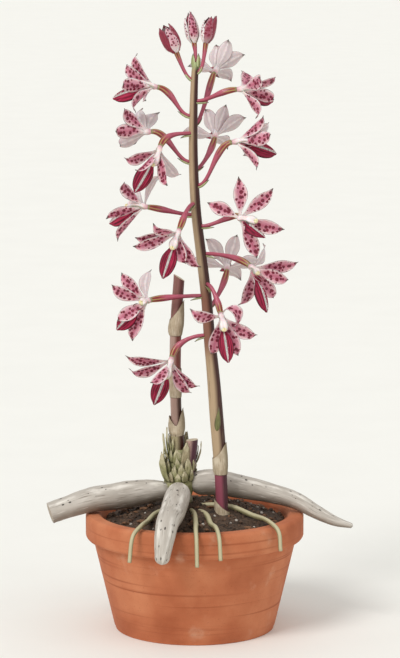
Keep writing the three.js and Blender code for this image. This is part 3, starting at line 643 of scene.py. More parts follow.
def lip_velvet():
    """The lip's skin is short crimson velvet: matt, with three darker lengthwise stripes on each half, and
    one half painted darker as shade.
    """
    material, tree = finish("lip_velvet", {"Roughness": 0.65, "Specular IOR Level": 0.25})
    place = add(tree, "Attribute", attribute_name="leaf").outputs["Vector"]
    _, across, along, off = marks(tree, "share")
    fine = cloudy(tree, place, 0.7, stretch=(1, 12, 1))
    wander = add(tree, "Math", {0: fine, 1: 5.0}, operation="MULTIPLY").outputs[0]
    wave = add(tree, "Math", {0: off, 1: 22.0, 2: wander}, operation="MULTIPLY_ADD").outputs[0]
    wave = add(tree, "Math", {0: wave}, operation="SINE").outputs[0]
    stripes = add(tree, "Math", {0: wave, 1: 0.16, 2: fine}, operation="MULTIPLY_ADD").outputs[0]
    # The first wash darkens one half of the lip: painted shade.
    colour = painted(tree, stripes, [(0.34, "#54081d"), (0.68, "#b32b4e"), (0.5, "#941a3a")], [
        ("#640d27", across, 0.1, 1.4), ("#3f1019", off, 0.24, 0.17), ("#d4c6c5", off, 0.17, 0.1),
        ("#45101d", off, 0.86, 1.0), ("#c98a94", along, 0.22, 0.06),
    ])
    return worn(material, colour, stripes, 0.3, 0.3)


def lip_down():
    """White down, soft and matt, a little green in the shade."""
    material, tree = finish("lip_down", {"Roughness": 0.8})
    clouds = cloudy(tree, add(tree, "TexCoord").outputs["Object"], 0.0015)
    colour = add(tree, "ValToRGB", {0: clouds}, stops=[(0.3, "#cfd8d2"), (0.7, "#f4efea")])
    return worn(material, colour.outputs["Color"])


def column_flesh():
    """The column is firm waxy tissue: smoother than the petals, white with a pink foot, and painted grey
    shade along its sides.
    """
    material, tree = finish(
        "column_flesh", {"Roughness": 0.38, "Subsurface Weight": 0.15, "Subsurface Scale": 0.001}
    )
    _, _, side, along = marks(tree, "round")
    off = add(tree, "Math", {0: side}, operation="ABSOLUTE").outputs[0]
    clouds = cloudy(tree, add(tree, "TexCoord").outputs["Object"], 0.002)
    # The grey wash along the column's sides is painted shade.
    colour = painted(tree, clouds, [(0.3, "#ecd2d3"), (0.7, "#f4ecea")],
                     [("#a9a596", off, 0.75, 1.0), ("#d9a6ae", along, 3.0, 0.0)])
    return worn(material, colour)


def anther_wax():
    """The anther cap is waxy and pale yellow."""
    material, tree = finish(
        "anther_wax", {"Roughness": 0.35, "Subsurface Weight": 0.1, "Subsurface Scale": 0.001}
    )
    _, _, side, _ = marks(tree, "round")
    off = add(tree, "Math", {0: side}, operation="ABSOLUTE").outputs[0]
    colour = add(tree, "ValToRGB", {0: off}, stops=[(0.0, "#b9a36a"), (1.0, "#d9cfa6"), (0.25, "#efe5b4")])
    return worn(material, colour.outputs["Color"])


def pedicel_skin():
    """A stalk's skin is smooth, juicy and crimson, with a painted pink highlight on the side toward the light
    and painted shade underneath, and its ovary has six ribs striped in dark red, olive and yellow."""
    material, tree = finish("pedicel_skin", {"Roughness": 0.4, "Coat Weight": 0.1})
    where, top, side, _ = marks(tree, "round")
    _, _, share, _ = marks(tree, "share")
    streaks = cloudy(tree, where, 0.35, stretch=(1, 1, 12))
    # Paler pink toward LIT is a painted highlight, and the darker wash underneath is painted shade.
    colour = painted(tree, top, [(0.0, "#8a2c40"), (1.0, "#b5566a"), (0.45, "#9f3f54")], [
        ("#5d1826", top, -0.15, -0.9), ("#cb8290", streaks, 0.58, 0.8), ("#75203a", streaks, 0.42, 0.25),
    ])
    turn = add(tree, "Math", {0: side, 1: top}, operation="ARCTAN2").outputs[0]
    ribs = add(tree, "Math", {0: turn, 1: float(PEDICEL["ribs"])}, operation="MULTIPLY").outputs[0]
    ribs = add(tree, "Math", {0: streaks, 1: 3.0, 2: ribs}, operation="MULTIPLY_ADD").outputs[0]
    ribs = add(tree, "Math", {0: ribs}, operation="SINE").outputs[0]
    ribs = add(tree, "MapRange", {"Value": ribs, "From Min": -1, "From Max": 1}).outputs[0]
    striped = add(tree, "ValToRGB", {0: ribs}, stops=[(0.3, "#80242a"), (1.0, "#a89a58"), (0.68, "#a8503c")])
    colour = laid_over(tree, colour, striped.outputs["Color"], share, 0.62, 0.86)
    return worn(material, washed(tree, colour, [("#8d9160", share, 0.94, 1.0)]), streaks, 0.2, 0.2)


# Colours of the stems' rinds: pale ones for the side toward the light and dark ones painted as shade on the
# far side, and how softly one side's turns into the other's.
TAN, ROSY_TAN, RUSSET, UMBER_SHADE = "#b09778", "#b09084", "#865a48", "#40201a"
WINE, WINE_SHADE, BRICK_SHADE, PLUM_SHADE = "#8a4454", "#471c28", "#743a34", "#54303c"
MAROON, MAROON_SHADE = "#8e605a", "#663836"
TIP_GREEN, GREEN_SHADE, HUSK = "#a0aa78", "#68724a", "#a49876"
RIND_BLEND = 0.14


def stem_rind(name, bands):
    """A stem's rind is smooth and firm, with fine lengthwise streaks. It is painted paler on its left side,
    where the light comes from, and darker on its right as painted shade. bands lists, from the foot up, the
    height in millimetres where each band begins, how far it fades, its pale colour and its colour of painted
    shade, and the share of the front that the pale one covers. The seams between bands wander by a few
    millimetres."""
    material, tree = finish(name, {"Roughness": 0.48, "Specular IOR Level": 0.35})
    where, _, side, _ = marks(tree, "round")
    streaks = cloudy(tree, where, 0.16, stretch=(1, 1, 60))
    broad = cloudy(tree, where, 0.5, stretch=(1, 1, 40))
    turn = add(tree, "Math", {0: broad, 1: 0.3, 2: side}, operation="MULTIPLY_ADD").outputs[0]
    turn = add(tree, "MapRange", {"Value": turn, "From Min": -0.85, "From Max": 1.15}).outputs[0]
    height = add(tree, "SeparateXYZ", {0: add(tree, "TexCoord").outputs["Object"]}).outputs[2]
    wander = add(tree, "Math", {0: broad, 1: WANDER * MM, 2: height}, operation="MULTIPLY_ADD").outputs[0]
    colour = None
    # pale is the colour of the lit side, and dark is the painted shade on the other side.
    for start, fade, pale, dark, covers in bands:
        sides = [(covers - RIND_BLEND, pale), (covers + RIND_BLEND, dark)]
        band = add(tree, "ValToRGB", {0: turn}, stops=sides).outputs["Color"]
        low = (start + WANDER / 2 - fade) * MM
        colour = band if colour is None else laid_over(tree, colour, band, wander, low, low + 2 * fade * MM)
    return worn(material, washed(tree, colour, [("#6a5a40", streaks, 0.58, 0.8)]), streaks, 0.35, 0.3)


def papery_sheath():
    """A sheath is dead, dry leaf: papery and matt, buff, with fine brown veins about 0.6 mm apart, and
    painted shade on its right side.
    """
    material, tree = finish("papery_sheath", {"Roughness": 0.72})
    where, _, side, _ = marks(tree, "round")
    _, _, share, _ = marks(tree, "share")
    veins = cloudy(tree, where, 0.13, stretch=(1, 1, 40))
    clouds = cloudy(tree, where, 0.8, stretch=(1, 1, 5))
    # The wash that follows side darkens the right side: painted shade.
    colour = painted(tree, clouds, [(0.3, "#a8967c"), (0.72, "#cec0a8"), (0.5, "#bbaa90")], [
        ("#7d6c53", veins, 0.55, 0.72), ("#d3c7b0", veins, 0.42, 0.25), ("#7f7156", side, 0.35, 1.1),
        ("#6e563f", share, 0.86, 0.9), ("#5f4632", share, 0.08, 0.03),
    ])
    return worn(material, colour, veins, 0.6, 0.4)


def green_leaf(name, shade, flesh, edge):
    """A bract or a stem scale is a small living leaf: smooth, yellow-green, with a dry grey tip."""
    material, tree = finish(
        name, {"Roughness": 0.5, "Subsurface Weight": 0.08, "Subsurface Scale": 0.0008}
    )
    place = add(tree, "Attribute", attribute_name="leaf").outputs["Vector"]
    _, _, along, off = marks(tree, "share")
    veins = cloudy(tree, place, 0.4, stretch=(1, 8, 1))
    colour = painted(tree, veins, [(0.3, shade), (0.7, flesh)],
                     [(edge, off, 0.5, 0.9), ("#5f5a4a", along, 0.72, 0.98)])
    return worn(material, colour)


def scale_leaf():
    """The crown's scales are half dead: olive and fibrous at the foot, dry and straw-coloured at the
    tip, and some are dry all over."""
    material, tree = finish("scale_leaf", {"Roughness": 0.75})
    place = add(tree, "Attribute", attribute_name="leaf").outputs["Vector"]
    _, _, along, off = marks(tree, "share")
    _, dry, _, _ = marks(tree, "face")
    fibres = cloudy(tree, place, 0.32, stretch=(1, 12, 1))
    clouds = cloudy(tree, place, 3)
    tips = add(tree, "Math", {0: clouds, 1: 0.6, 2: along}, operation="MULTIPLY_ADD").outputs[0]
    colour = painted(tree, clouds, [(0.3, "#7f8050"), (0.7, "#b0ac84"), (0.5, "#99976a")], [
        ("#ab9d7d", dry, 0.0, 1.0), ("#c9bf9f", tips, 0.7, 1.25), ("#5b5833", tips, 0.5, 0.22),
        ("#625d38", fibres, 0.55, 0.74), ("#d2caa9", fibres, 0.43, 0.27), ("#6f6747", off, 0.82, 1.0),
    ])
    return worn(material, colour, fibres, 0.6, 0.4)


def root_bark():
    """A thick root has a smooth grey-buff skin, with fine lines along it and painted shade on its underside.
    A broken streak of painted highlight lies on each shoulder, and dark pores under 1 mm across lie about 5
    mm apart."""
    material, tree = finish("root_bark", {"Roughness": 0.55})
    _, up, side, along = marks(tree, "round")
    _, cut, _, _ = marks(tree, "share")
    turn = add(tree, "Math", {0: side, 1: up}, operation="ARCTAN2").outputs[0]
    arc = add(tree, "Math", {0: turn, 1: ROOT["radius"]}, operation="MULTIPLY").outputs[0]
    place = add(tree, "CombineXYZ", {0: arc, 1: along}).outputs[0]
    lines = cloudy(tree, place, 0.6, stretch=(1, 16, 1))
    clouds = cloudy(tree, place, 6, stretch=(1, 3, 1))
    # The first wash darkens the underside: painted shade.
    colour = painted(tree, clouds, [(0.28, "#a69d92"), (0.72, "#ccc5bb"), (0.5, "#bab2a7")], [
        ("#887e72", up, 0.35, -0.7), ("#857b6f", lines, 0.54, 0.76), ("#dad4ca", lines, 0.42, 0.24),
    ])
    shoulder = add(tree, "Math", {0: turn}, operation="ABSOLUTE").outputs[0]
    shoulder = add(tree, "Math", {0: shoulder, 1: ROOT["shoulder"]}, operation="SUBTRACT").outputs[0]
    shoulder = add(tree, "Math", {0: shoulder}, operation="ABSOLUTE").outputs[0]
    # A broken streak of painted highlight on each shoulder.
    patches = cloudy(tree, place, 3.2, stretch=(1, 3, 1))
    painted_highlight = add(tree, "Math", {0: patches, 1: 1.5}, operation="MULTIPLY").outputs[0]
    painted_highlight = add(tree, "Math", {0: painted_highlight, 1: shoulder}, operation="SUBTRACT").outputs[0]
    spread = (1 / ROOT["pores_round"], 1 / ROOT["pores_along"], 1)
    spread = add(tree, "VectorMath", {0: place, 1: spread}, operation="MULTIPLY").outputs[0]
    pores = add(tree, "TexVoronoi", {"Vector": spread, "Scale": 1.0, "Randomness": 0.9},
                voronoi_dimensions="2D")
    chance = add(tree, "SeparateXYZ", {0: pores.outputs["Color"]}).outputs[0]
    near = {0: chance, 1: -0.07, 2: pores.outputs["Distance"]}
    near = add(tree, "Math", near, operation="MULTIPLY_ADD").outputs[0]
    under = add(tree, "MapRange", {"Value": up, "From Min": 0.5, "From Max": 0.1, "To Max": 0.3}).outputs[0]
    near = add(tree, "Math", {0: near, 1: under}, operation="ADD").outputs[0]
    colour = washed(tree, colour, [
        ("#e2dcd2", painted_highlight, 0.48, 0.95), ("#463f38", near, 0.06, 0.03), ("#a3937f", cut, 0.0, 0.3),
    ])
    return worn(material, colour, lines, 0.4, 0.4)


def thin_root_skin():
    """A thin root is olive-brown, smooth and dull, with a painted highlight along its top and painted shade
    underneath.
    """
    material, tree = finish("thin_root_skin", {"Roughness": 0.6})
    where, up, _, _ = marks(tree, "round")
    streaks = cloudy(tree, where, 0.4, stretch=(1, 1, 16))
    # The washes paint a highlight along the top and shade underneath.
    colour = painted(tree, streaks, [(0.3, "#7a7350"), (0.72, "#a39c76")],
                     [("#bdb592", up, 0.4, 0.95), ("#58523a", up, 0.0, -0.8)])
    return worn(material, colour)


def cut_pith():
    """A cut end is dry pith: buff and fibrous."""
    material, tree = finish("cut_pith", {"Roughness": 0.85})
    grains = cloudy(tree, add(tree, "TexCoord").outputs["Object"], 0.0004)
    colour = add(tree, "ValToRGB", {0: grains}, stops=[(0.3, "#b7a88e"), (0.7, "#dacdb6")])
    return worn(material, colour.outputs["Color"])


def terracotta():
    """Fired earthenware, thrown and unglazed: matt, sandy to the touch, with fine throwing rings about
    1.6 mm apart and a pale bloom of lime where water has dried."""
    material, tree = finish("terracotta", {"Roughness": 0.88})
    where = add(tree, "TexCoord").outputs["Object"]
    rings = cloudy(tree, where, 0.0016, stretch=(60, 60, 1), detail=2)
    sand = cloudy(tree, where, 0.0005, detail=2)
    clouds = cloudy(tree, where, 0.022, detail=5)
    lime = cloudy(tree, where, 0.012, detail=6)
    colour = painted(tree, clouds, [(0.25, "#a0532f"), (0.75, "#cb8159"), (0.5, "#b96b45")], [
        ("#9a4f2d", rings, 0.55, 0.8), ("#d3a98c", lime, 0.58, 0.95), ("#8a4426", sand, 0.66, 0.78),
    ])
    grit = add(tree, "Math", {0: sand, 1: 0.35, 2: rings}, operation="MULTIPLY_ADD").outputs[0]
    return worn(material, colour, grit, 0.35, 0.4)


def potting_mix(name, dark, light):
    """Damp leaf mould and bark: matt and dark, with crumbs from 0.5 mm up."""
    material, tree = finish(name, {"Roughness": 0.95})
    where = add(tree, "TexCoord").outputs["Object"]
    crumbs = cloudy(tree, where, 0.0012, detail=5)
    clouds = cloudy(tree, where, 0.006, detail=2)
    mixed = add(tree, "Math", {0: clouds, 1: 0.7, 2: crumbs}, operation="MULTIPLY_ADD").outputs[0]
    colour = add(tree, "ValToRGB", {0: mixed}, stops=[(0.6, dark), (1.0, light)])
    return worn(material, colour.outputs["Color"], crumbs, 0.8, 1)


PETAL = petal_tissue()
VELVET = lip_velvet()
DOWN = lip_down()
FLESH = column_flesh()
ANTHER = anther_wax()
STALK_SKIN = pedicel_skin()
SHEATH = papery_sheath()
BRACT_GREEN = green_leaf("green_leaf", "#78834b", "#a8b078", "#bdc191")
SCALE_OLIVE = green_leaf("olive_scale", "#5a5c30", "#7e7d4b", "#5b5433")
SCALE = scale_leaf()
BARK = root_bark()
ROOT_SKIN = thin_root_skin()
PITH = cut_pith()
CLAY = terracotta()


# The pot and what fills it

def choose_faces(piece, wanted):
    """Selects the faces of a piece that wanted(face) picks, and goes on in edit mode."""
    bpy.ops.object.mode_set(mode="OBJECT")
    for part in (*piece.data.vertices, *piece.data.edges):
        part.select = False
    for face in piece.data.polygons:
        face.select = wanted(face)
    bpy.ops.object.mode_set(mode="EDIT")


def clay_pot():
    """One disc of clay, drawn out and up into the wall and the rim, and down again inside."""
    inner = POT["rim_radius"] - POT["rim_lip"] - POT["wall"]
    top, ledge = POT["height"], POT["height"] - POT["rim_depth"]
    foot, rim, neck = POT["base_radius"], POT["rim_radius"], POT["rim_radius"] - POT["rim_lip"]
    steps = [
        (foot + 0.6, 2), (neck - 0.2, ledge - 1), (neck, ledge), (rim - 0.9, ledge), (rim, ledge + 1.2),
        (rim, top - 1.4), (rim - 1.2, top), (inner + 1.2, top), (inner, top - 1.4),
        (foot - POT["wall"], POT["floor"] + 1), (foot - POT["wall"] - 1, POT["floor"]),
    ]
    radius, height = foot, 1.0
    bpy.ops.mesh.primitive_cylinder_add(
        vertices=96, radius=radius * MM, depth=height * MM, location=(0, 0, height / 2 * MM)
    )
    pot = bpy.context.object
    bpy.ops.object.transform_apply(location=True)
    bpy.context.tool_settings.mesh_select_mode = (False, False, True)
    choose_faces(pot, lambda face: face.normal.z > 0.9)
    for next_radius, next_height in steps:
        lift = (0, 0, (next_height - height) * MM)
        bpy.ops.mesh.extrude_region_move(TRANSFORM_OT_translate={"value": lift})
        grow = next_radius / radius
        bpy.ops.transform.resize(value=(grow, grow, 1), center_override=(0, 0, next_height * MM))
        radius, height = next_radius, next_height
    bpy.ops.object.mode_set(mode="OBJECT")

    for k in range(DRAIN["count"]):
        turn = 2 * math.pi * (k + 0.25) / DRAIN["count"]
        where = (DRAIN["circle"] * math.cos(turn) * MM, DRAIN["circle"] * math.sin(turn) * MM, 0)
        bpy.ops.mesh.primitive_cylinder_add(
            vertices=24, radius=DRAIN["radius"] * MM, depth=4 * POT["floor"] * MM, location=where
        )
        drill = bpy.context.object
        bpy.context.view_layer.objects.active = pot
        hole = pot.modifiers.new("drain", "BOOLEAN")
        hole.operation, hole.object = "DIFFERENCE", drill
        bpy.ops.object.modifier_apply(modifier=hole.name)
        bpy.data.objects.remove(drill)
    pot.select_set(True)
    edge = pot.modifiers.new("worn_edges", "BEVEL")
    edge.width, edge.segments, edge.limit_method, edge.angle_limit = 0.7 * MM, 3, "ANGLE", math.radians(28)
    bpy.ops.object.modifier_apply(modifier=edge.name)
    bpy.ops.object.shade_smooth_by_angle(angle=math.radians(35))
    set_out("clay_pot", [dressed(pot, CLAY)], "pot")


def soil_height(x, y):
    """The top of the soil: mounded to the crown, level at the wall, and lumpy between."""
    share = math.hypot(x, y) / SOIL["radius"]
    lumps = math.sin(0.61 * x + 1.3) * math.cos(0.53 * y) + math.sin(0.29 * x - 0.37 * y)
    fine = noise.noise(Vector((x, y, 0)) * 0.45) + 0.6 * noise.noise(Vector((x, y, 9)) * 1.1)
    swell = SOIL["dome"] * (1 - share**2) + (SOIL["roughness"] * lumps + 0.8 * fine) * (1 - share**6)
    return SOIL["edge"] + swell


def potting_soil():
    """The soil, with crumbs, chips of bark and grit lying on it."""
    draw = random.Random(11)
    brim = 0.9

    def place(turn, t, girth):
        top = t < brim
        radius = SOIL["radius"] * (t / brim if top else 1) * (girth if top else 1)
        x, y = radius * math.cos(turn), -radius * math.sin(turn)
        if top:
            return Vector((x, y, soil_height(x, y))), {}
        lower = 0.78 * girth
        return Vector((x * lower, y * lower, SOIL["floor"])), {}

    ground = dressed(skin("ground", 96, 50, place), potting_mix("leaf_mould", "#1e1611", "#5a4636"))
    parts = [ground]
    for name, count, sizes, form, dark, light in LITTER:
        bpy.ops.mesh.primitive_ico_sphere_add(subdivisions=1, radius=MM)
        model = dressed(bpy.context.object, potting_mix(name, dark, light))
        for corner in model.data.vertices:
            corner.co *= 1 + 0.35 * noise.noise(corner.co * 900)
        spots = []
        for _ in range(count):
            turn, radius = draw.uniform(0, 2 * math.pi), SOIL["radius"] * math.sqrt(draw.uniform(0, 0.96))
            x, y, size = radius * math.cos(turn), radius * math.sin(turn), draw.uniform(*sizes)
            spin = Matrix.Rotation(draw.uniform(0, 2 * math.pi), 4, "Z")
            lean = Matrix.Rotation(draw.uniform(-0.6, 0.6), 4, "X")
            seat = Matrix.Translation(Vector((x, y, soil_height(x, y) + 0.2 * size)) * MM)
            spots.append(seat @ spin @ lean @ Matrix.Diagonal((*(size * f for f in form), 1)))
        parts += copies(model, spots)
    set_out("potting_soil", parts, "soil")


# Stems and sheaths

def axis_of(stem):
    """A stem's middle line: at(height) gives a place on it."""
    line = np.array([tuple(place) for place in through(stem["places"], 200)])

    def at(height):
        return Vector([np.interp(height, line[:, 2], line[:, k]) for k in range(3)])

    return at


flower_axis = axis_of(FLOWER_STEM)


def stem_radius(stem, height):
    """A stem's radius at a height."""
    low, high = stem["places"][0][2], stem["places"][-1][2]
    return smooth(stem["radii"], (height - low) / (high - low))


def round_mouth(heights, turn):
    """A smooth run through heights at equal turns, which comes back to where it began."""
    along = (turn / (2 * math.pi) % 1) * len(heights)
    k = int(along)
    a, b, c, d = (heights[(k + step) % len(heights)] for step in (-1, 0, 1, 2))
    return bezier(b, b + (c - a) / 6, c - (d - b) / 6, c, along - k)


def sheath(name, material=SHEATH):
    """A dry sheath round a stem: up from its foot, over its slanted mouth, and down inside it."""
    wrap = SHEATHS[name]
    centre = axis_of(wrap["stem"])
    seed = wrap["foot"]
    stages = SHEATH_SKIN["stages"]

    def place(turn, t, girth):
        mouth = round_mouth(wrap["mouth"], turn)
        climb = np.interp(t, stages, SHEATH_SKIN["climbs"])
        height = wrap["foot"] + (mouth - wrap["foot"]) * climb
        stand = wrap["grow"] * np.interp(t, stages, SHEATH_SKIN["stands"])
        folds = 0.07 * math.sin(13 * turn + 2 * math.sin(4 * climb + seed)) * math.sin(math.pi * climb)
        outside = t < SHEATH_SKIN["mouth"]
        bulge = wrap["bulge"] * math.sin(math.pi * min(climb * 1.1, 1)) if outside else 0
        radius = (stem_radius(wrap["stem"], height) + stand + bulge + folds) * girth
        out = Vector((math.sin(turn), -math.cos(turn), 0))
        found = {"round": (math.cos(turn) + seed, math.sin(turn), height), "share": (0, float(t), 0)}
        return centre(height) + out * radius, found

    return dressed(skin(name, 40, 30, place), material)


def stem(stem_table, rings, material, top_slant=0.0):
    """A stem with a squarely cut top, or one that slants down to the right."""
    line = through(stem_table["places"], rings)
    piece = stalk("stem", line, stem_table["radii"], 32, FRONT)
    top = stem_table["places"][-1]
    for corner in piece.data.vertices:
        if corner.co.z > (top[2] - 1) * MM:
            corner.co.z -= (corner.co.x - top[0] * MM) * top_slant
    return dressed(piece, material)


def cut_top(piece, stem_table):
    """The cut end of a stem shows its pith."""
    height = stem_table["places"][-1][2]
    piece.data.materials.append(PITH)
    bpy.ops.object.select_all(action="DESELECT")
    piece.select_set(True)
    bpy.context.view_layer.objects.active = piece
    for face in piece.data.polygons:
        if face.normal.z > 0.75 and face.center.z > (height - 2) * MM:
            face.material_index = 1
    bpy.ops.object.shade_smooth_by_angle(angle=math.radians(40))
    return piece


def pointed(t):
    """A leaf's outline that is broadest at the foot."""
    return smooth([0.72, 0.95, 1, 0.94, 0.78, 0.5, 0.04], t)


def drawn_out(t):
    """A leaf's outline that runs out into a long point."""
    return smooth([0.5, 0.9, 1, 0.84, 0.56, 0.3, 0.04], t)


def small_leaf(line, facing, table, seed, material=BRACT_GREEN, outline=pointed):
    """A bract or a scale leaf, with the sizes in its table."""
    at = arched(line, facing, table["width"], outline, lambda u, t: table["channel"] * outline(t) * u * u)
    blade = leaf("small_leaf", at, table["thick"], span(line), seed, sides=12, rings=len(line) - 1)
    return dressed(blade, material)


def pedicel_line(bloom):
    """The line of a bloom's stalk, square out of the stem and straight into the back of the bloom."""
    heart, faces = stance(bloom)
    axis = flower_axis(bloom["foot"])
    out = heart - axis
    out.z = 0
    out.normalize()
    foot = axis + out * (stem_radius(FLOWER_STEM, bloom["foot"]) - 0.4)
    end = heart - faces * HEART
    return curve((foot, foot + out * 6, end - faces * PEDICEL["ovary"], end), 34)


def bract(bloom, seed):
    """The small leaf that lies close under the foot of a stalk."""
    line = pedicel_line(bloom)
    tangents = ways(line)
    step = (line[1] - line[0]).length
    below = []
    steps = 8
    for k in range(steps + 1):
        along = k * BRACT["length"] / steps
        at = min(int(along / step), len(line) - 2)
        down = tangents[at].cross(tangents[at].cross(UP)).normalized()
        place = line[at] + tangents[at] * (along - at * step)
        below.append(place + down * (1.2 + 0.5 * k / steps + 0.05 * k) - tangents[0] * 0.9)
    return small_leaf(below, UP, BRACT, seed)


def flowering_stem():
    """The tall stem with its foot sheath, its pressed scale and its bracts, and the sheath round it."""
    # Each band pairs its colour on the lit left side with its painted shade on the right.
    rind = stem_rind("flower_stem_rind", [
        (30, 1, WINE, WINE_SHADE, 0.62), (83, 2, TAN, UMBER_SHADE, 0.6), (134, 6, RUSSET, UMBER_SHADE, 0.62),
        (166, 7, TAN, UMBER_SHADE, 0.5), (267, 1.5, TIP_GREEN, GREEN_SHADE, 0.65),
    ])
    parts = [stem(FLOWER_STEM, 110, rind), sheath("flower_foot")]
    foot = flower_axis(PRESSED_SCALE["foot"])
    line = curve([foot + Vector(place) for place in PRESSED_SCALE["bends"]], 14)
    parts.append(small_leaf(line, FRONT, PRESSED_SCALE, 77, SCALE_OLIVE, drawn_out))
    parts += [bract(bloom, 100 + k) for k, bloom in enumerate(BLOOMS)]
    top = Vector(FLOWER_STEM["places"][-1])
    for side in (-1, 1):
        line = curve([top + Vector((side * x, y, z)) for x, y, z in TOP_BRACT["bends"]], 12)
        parts.append(small_leaf(line, Vector((-side, 0.5, 0)), TOP_BRACT, 120 + side))
    parts += [bud_bract(BUDS[side]) for side in ("left", "right")]
    set_out("flowering_stem", parts, "flower_stem")
    set_out("stem_sheath", [sheath("flower_middle")], "flower_stem_sheath")


def older_stems():
    """The older stem with its sheaths, and the stub beside it."""
    # Each band pairs its colour on the lit left side with its painted shade on the right.
    rind = stem_rind("old_stem_rind", [
        (60, 1, ROSY_TAN, UMBER_SHADE, 0.64), (112, 1, ROSY_TAN, BRICK_SHADE, 0.5), (146, 1, MAROON, MAROON_SHADE, 0.6),
    ])
    old = cut_top(stem(OLD_STEM, 60, rind, top_slant=0.55), OLD_STEM)
    # The foot sheath's husk, with painted shade on its right side.
    husk_with_painted_shade = stem_rind("old_foot_rind", [(60, 1, HUSK, UMBER_SHADE, 0.6)])
    parts = [old, sheath("old_upper"), sheath("old_middle"), sheath("old_foot", husk_with_painted_shade)]
    set_out("older_stem", parts, "old_stem")
    set_out("older_sheath", [sheath("old_lower")], "old_stem_sheath")
    # The stub's rind, with painted plum shade on its right side.
    plum = stem_rind("stub_rind", [(60, 1, ROSY_TAN, PLUM_SHADE, 0.5)])
    stub = cut_top(stem(STUB, 24, plum, top_slant=-0.2), STUB)
    set_out("cut_stub", [stub], "stem_stub")


def ragged_scale(line, facing, width, seed, dry):
    """A half dead scale leaf: a strap that is crinkled along its length and torn at its tip."""
    tangents = ways(line)

    def strap(t):
        frayed = 0.14 * noise.noise(Vector((7 * t, seed, 0))) * rise(0.25, 0.8, t)
        return smooth([0.8, 0.98, 1, 0.96, 0.86, 0.66, 0.3], t) + frayed

    def crinkle(u, t):
        pleats = 0.14 * math.cos(9 * u + seed) + noise.noise(Vector((2.6 * u, 2.5 * t, seed)))
        return 0.3 * u * u + pleats * CRINKLE * width * rise(0, 0.4, t)

    at = arched(line, facing, width, strap, crinkle)

    def torn(u, t):
        point, normal, half = at(u, t)
        tear = 2.4 * noise.noise(Vector((2.4 * u, seed, 7))) - 0.4 * u * u
        return point + tangents[-1] * (tear * rise(0.72, 1, t)), normal, half

    blade = leaf("scale", torn, SCALE_LEAF["thick"], span(line), seed, sides=28, rings=16, face=(dry, 0, 0))
    return dressed(blade, SCALE)


def crown():
    """The ragged scale leaves round the foot of the older stem, on the low cone that they grow from."""
    draw = random.Random(7)
    axis = Vector(CROWN["axis"])

    def cone_radius(height):
        return np.interp(height, CROWN["heights"], CROWN["radii"])

    def cone_depth(x, height):
        """The Y of the front of the cone, a little way out."""
        out = cone_radius(height) + 0.8
        return axis.y - math.sqrt(max(0.2, out**2 - (x - axis.x) ** 2))

    def place(turn, t, girth):
        height = CROWN["foot"] + CROWN["height"] * t
        radius = cone_radius(height) * girth * (1 + 0.05 * math.sin(7 * turn))
        found = {"leaf": (4 * turn, 20 * t, 0), "share": (0, 0.35, 0), "face": (0, 0, 0)}
        return axis + Vector((radius * math.sin(turn), -radius * math.cos(turn), height)), found

    parts = [dressed(skin("cone", 32, 16, place), SCALE)]
    for k, ((foot_x, foot_z), (tip_x, tip_z), width) in enumerate(FRONT_SCALES):
        foot = Vector((foot_x, cone_depth(foot_x, foot_z) + 0.7, foot_z))
        tip_y = min(cone_depth(foot_x, foot_z), cone_depth(tip_x, tip_z)) - draw.uniform(0.1, 0.9)
        tip = Vector((tip_x, tip_y, tip_z))
        out = Vector((foot.x - axis.x, foot.y - axis.y, 0)).normalized()
        lean = (tip - foot).length
        bends = (foot, foot.lerp(tip, 0.3) + out * 0.1 * lean, foot.lerp(tip, 0.7) + out * 0.05 * lean, tip)
        line = curve(bends, 16)
        face = -out + Vector((draw.uniform(-0.3, 0.3), 0, 0))
        dry = draw.choice((0, 0, 0.3, 0.9))
        parts.append(ragged_scale(line, face, SCALE_LEAF["spread"] * width, 3 * k + 1, dry))
    for k in range(CROWN["scales"]):
        turn = k * CROWN["turn"] + draw.uniform(-0.2, 0.2)
        out = Vector((math.cos(turn), math.sin(turn), 0))
        if out.y < -0.35:
            continue
        base = CROWN["first"] + CROWN["climb"] * k / CROWN["scales"]
        height = draw.uniform(6, 12)
        foot = axis + out * (cone_radius(base) - 0.6) + UP * base
        bends = (
            foot, foot + out * 1.2 + UP * height * 0.3, foot + out * 1.6 + UP * height * 0.7,
            foot + out * draw.uniform(0.8, 2.4) + UP * height,
        )
        line = curve(bends, 16)
        parts.append(ragged_scale(line, -out, draw.uniform(3, 5), 200 + 3 * k, draw.choice((0, 0.3, 0.9))))
    set_out("scale_leaves", parts, "crown_scales")


# Roots

def thick_roots():
    """The three thick roots, a little uneven, with their ends rounded off or left cut."""
    for number, (side, root) in enumerate(THICK_ROOTS.items()):
        line = through(root["places"], 90)
        length = span(line)

        def bumps(turn, t):
            where = Vector((math.cos(turn), math.sin(turn), 9 * t + 20 * number))
            swell = 1 + 0.035 * noise.noise(where * 1.3) + 0.015 * noise.noise(where * 4)
            for domed, run in zip(root["domes"], (t * length, (1 - t) * length)):
                if domed:
                    swell *= math.sqrt(1 - (1 - min(run / (0.9 * smooth(root["radii"], t)), 0.999)) ** 2)
            return max(swell, 0.06)

        piece = dressed(stalk("root", line, root["radii"], 40, UP, bumps), BARK)
        bpy.ops.object.shade_smooth_by_angle(angle=math.radians(50))
        set_out(f"{side}_root", [piece], f"root_{side}")


def thin_roots():
    """The thin roots and the rootstock in the soil that they leave."""
    parts = []
    for number, places in enumerate(THIN_ROOTS):
        line = through(places, 60)

        def bumps(turn, t, number=number):
            return 1 + 0.06 * noise.noise(Vector((math.cos(turn), math.sin(turn), 14 * t + 30 * number)))

        parts.append(dressed(stalk("thin", line, THIN_ROOT_RADII, 14, LIT, bumps), ROOT_SKIN))
    core = through(ROOTSTOCK["places"], 10)
    parts.append(dressed(stalk("core", core, ROOTSTOCK["radii"], 24, FRONT), ROOT_SKIN))
    set_out("fine_roots", parts, "thin_roots")


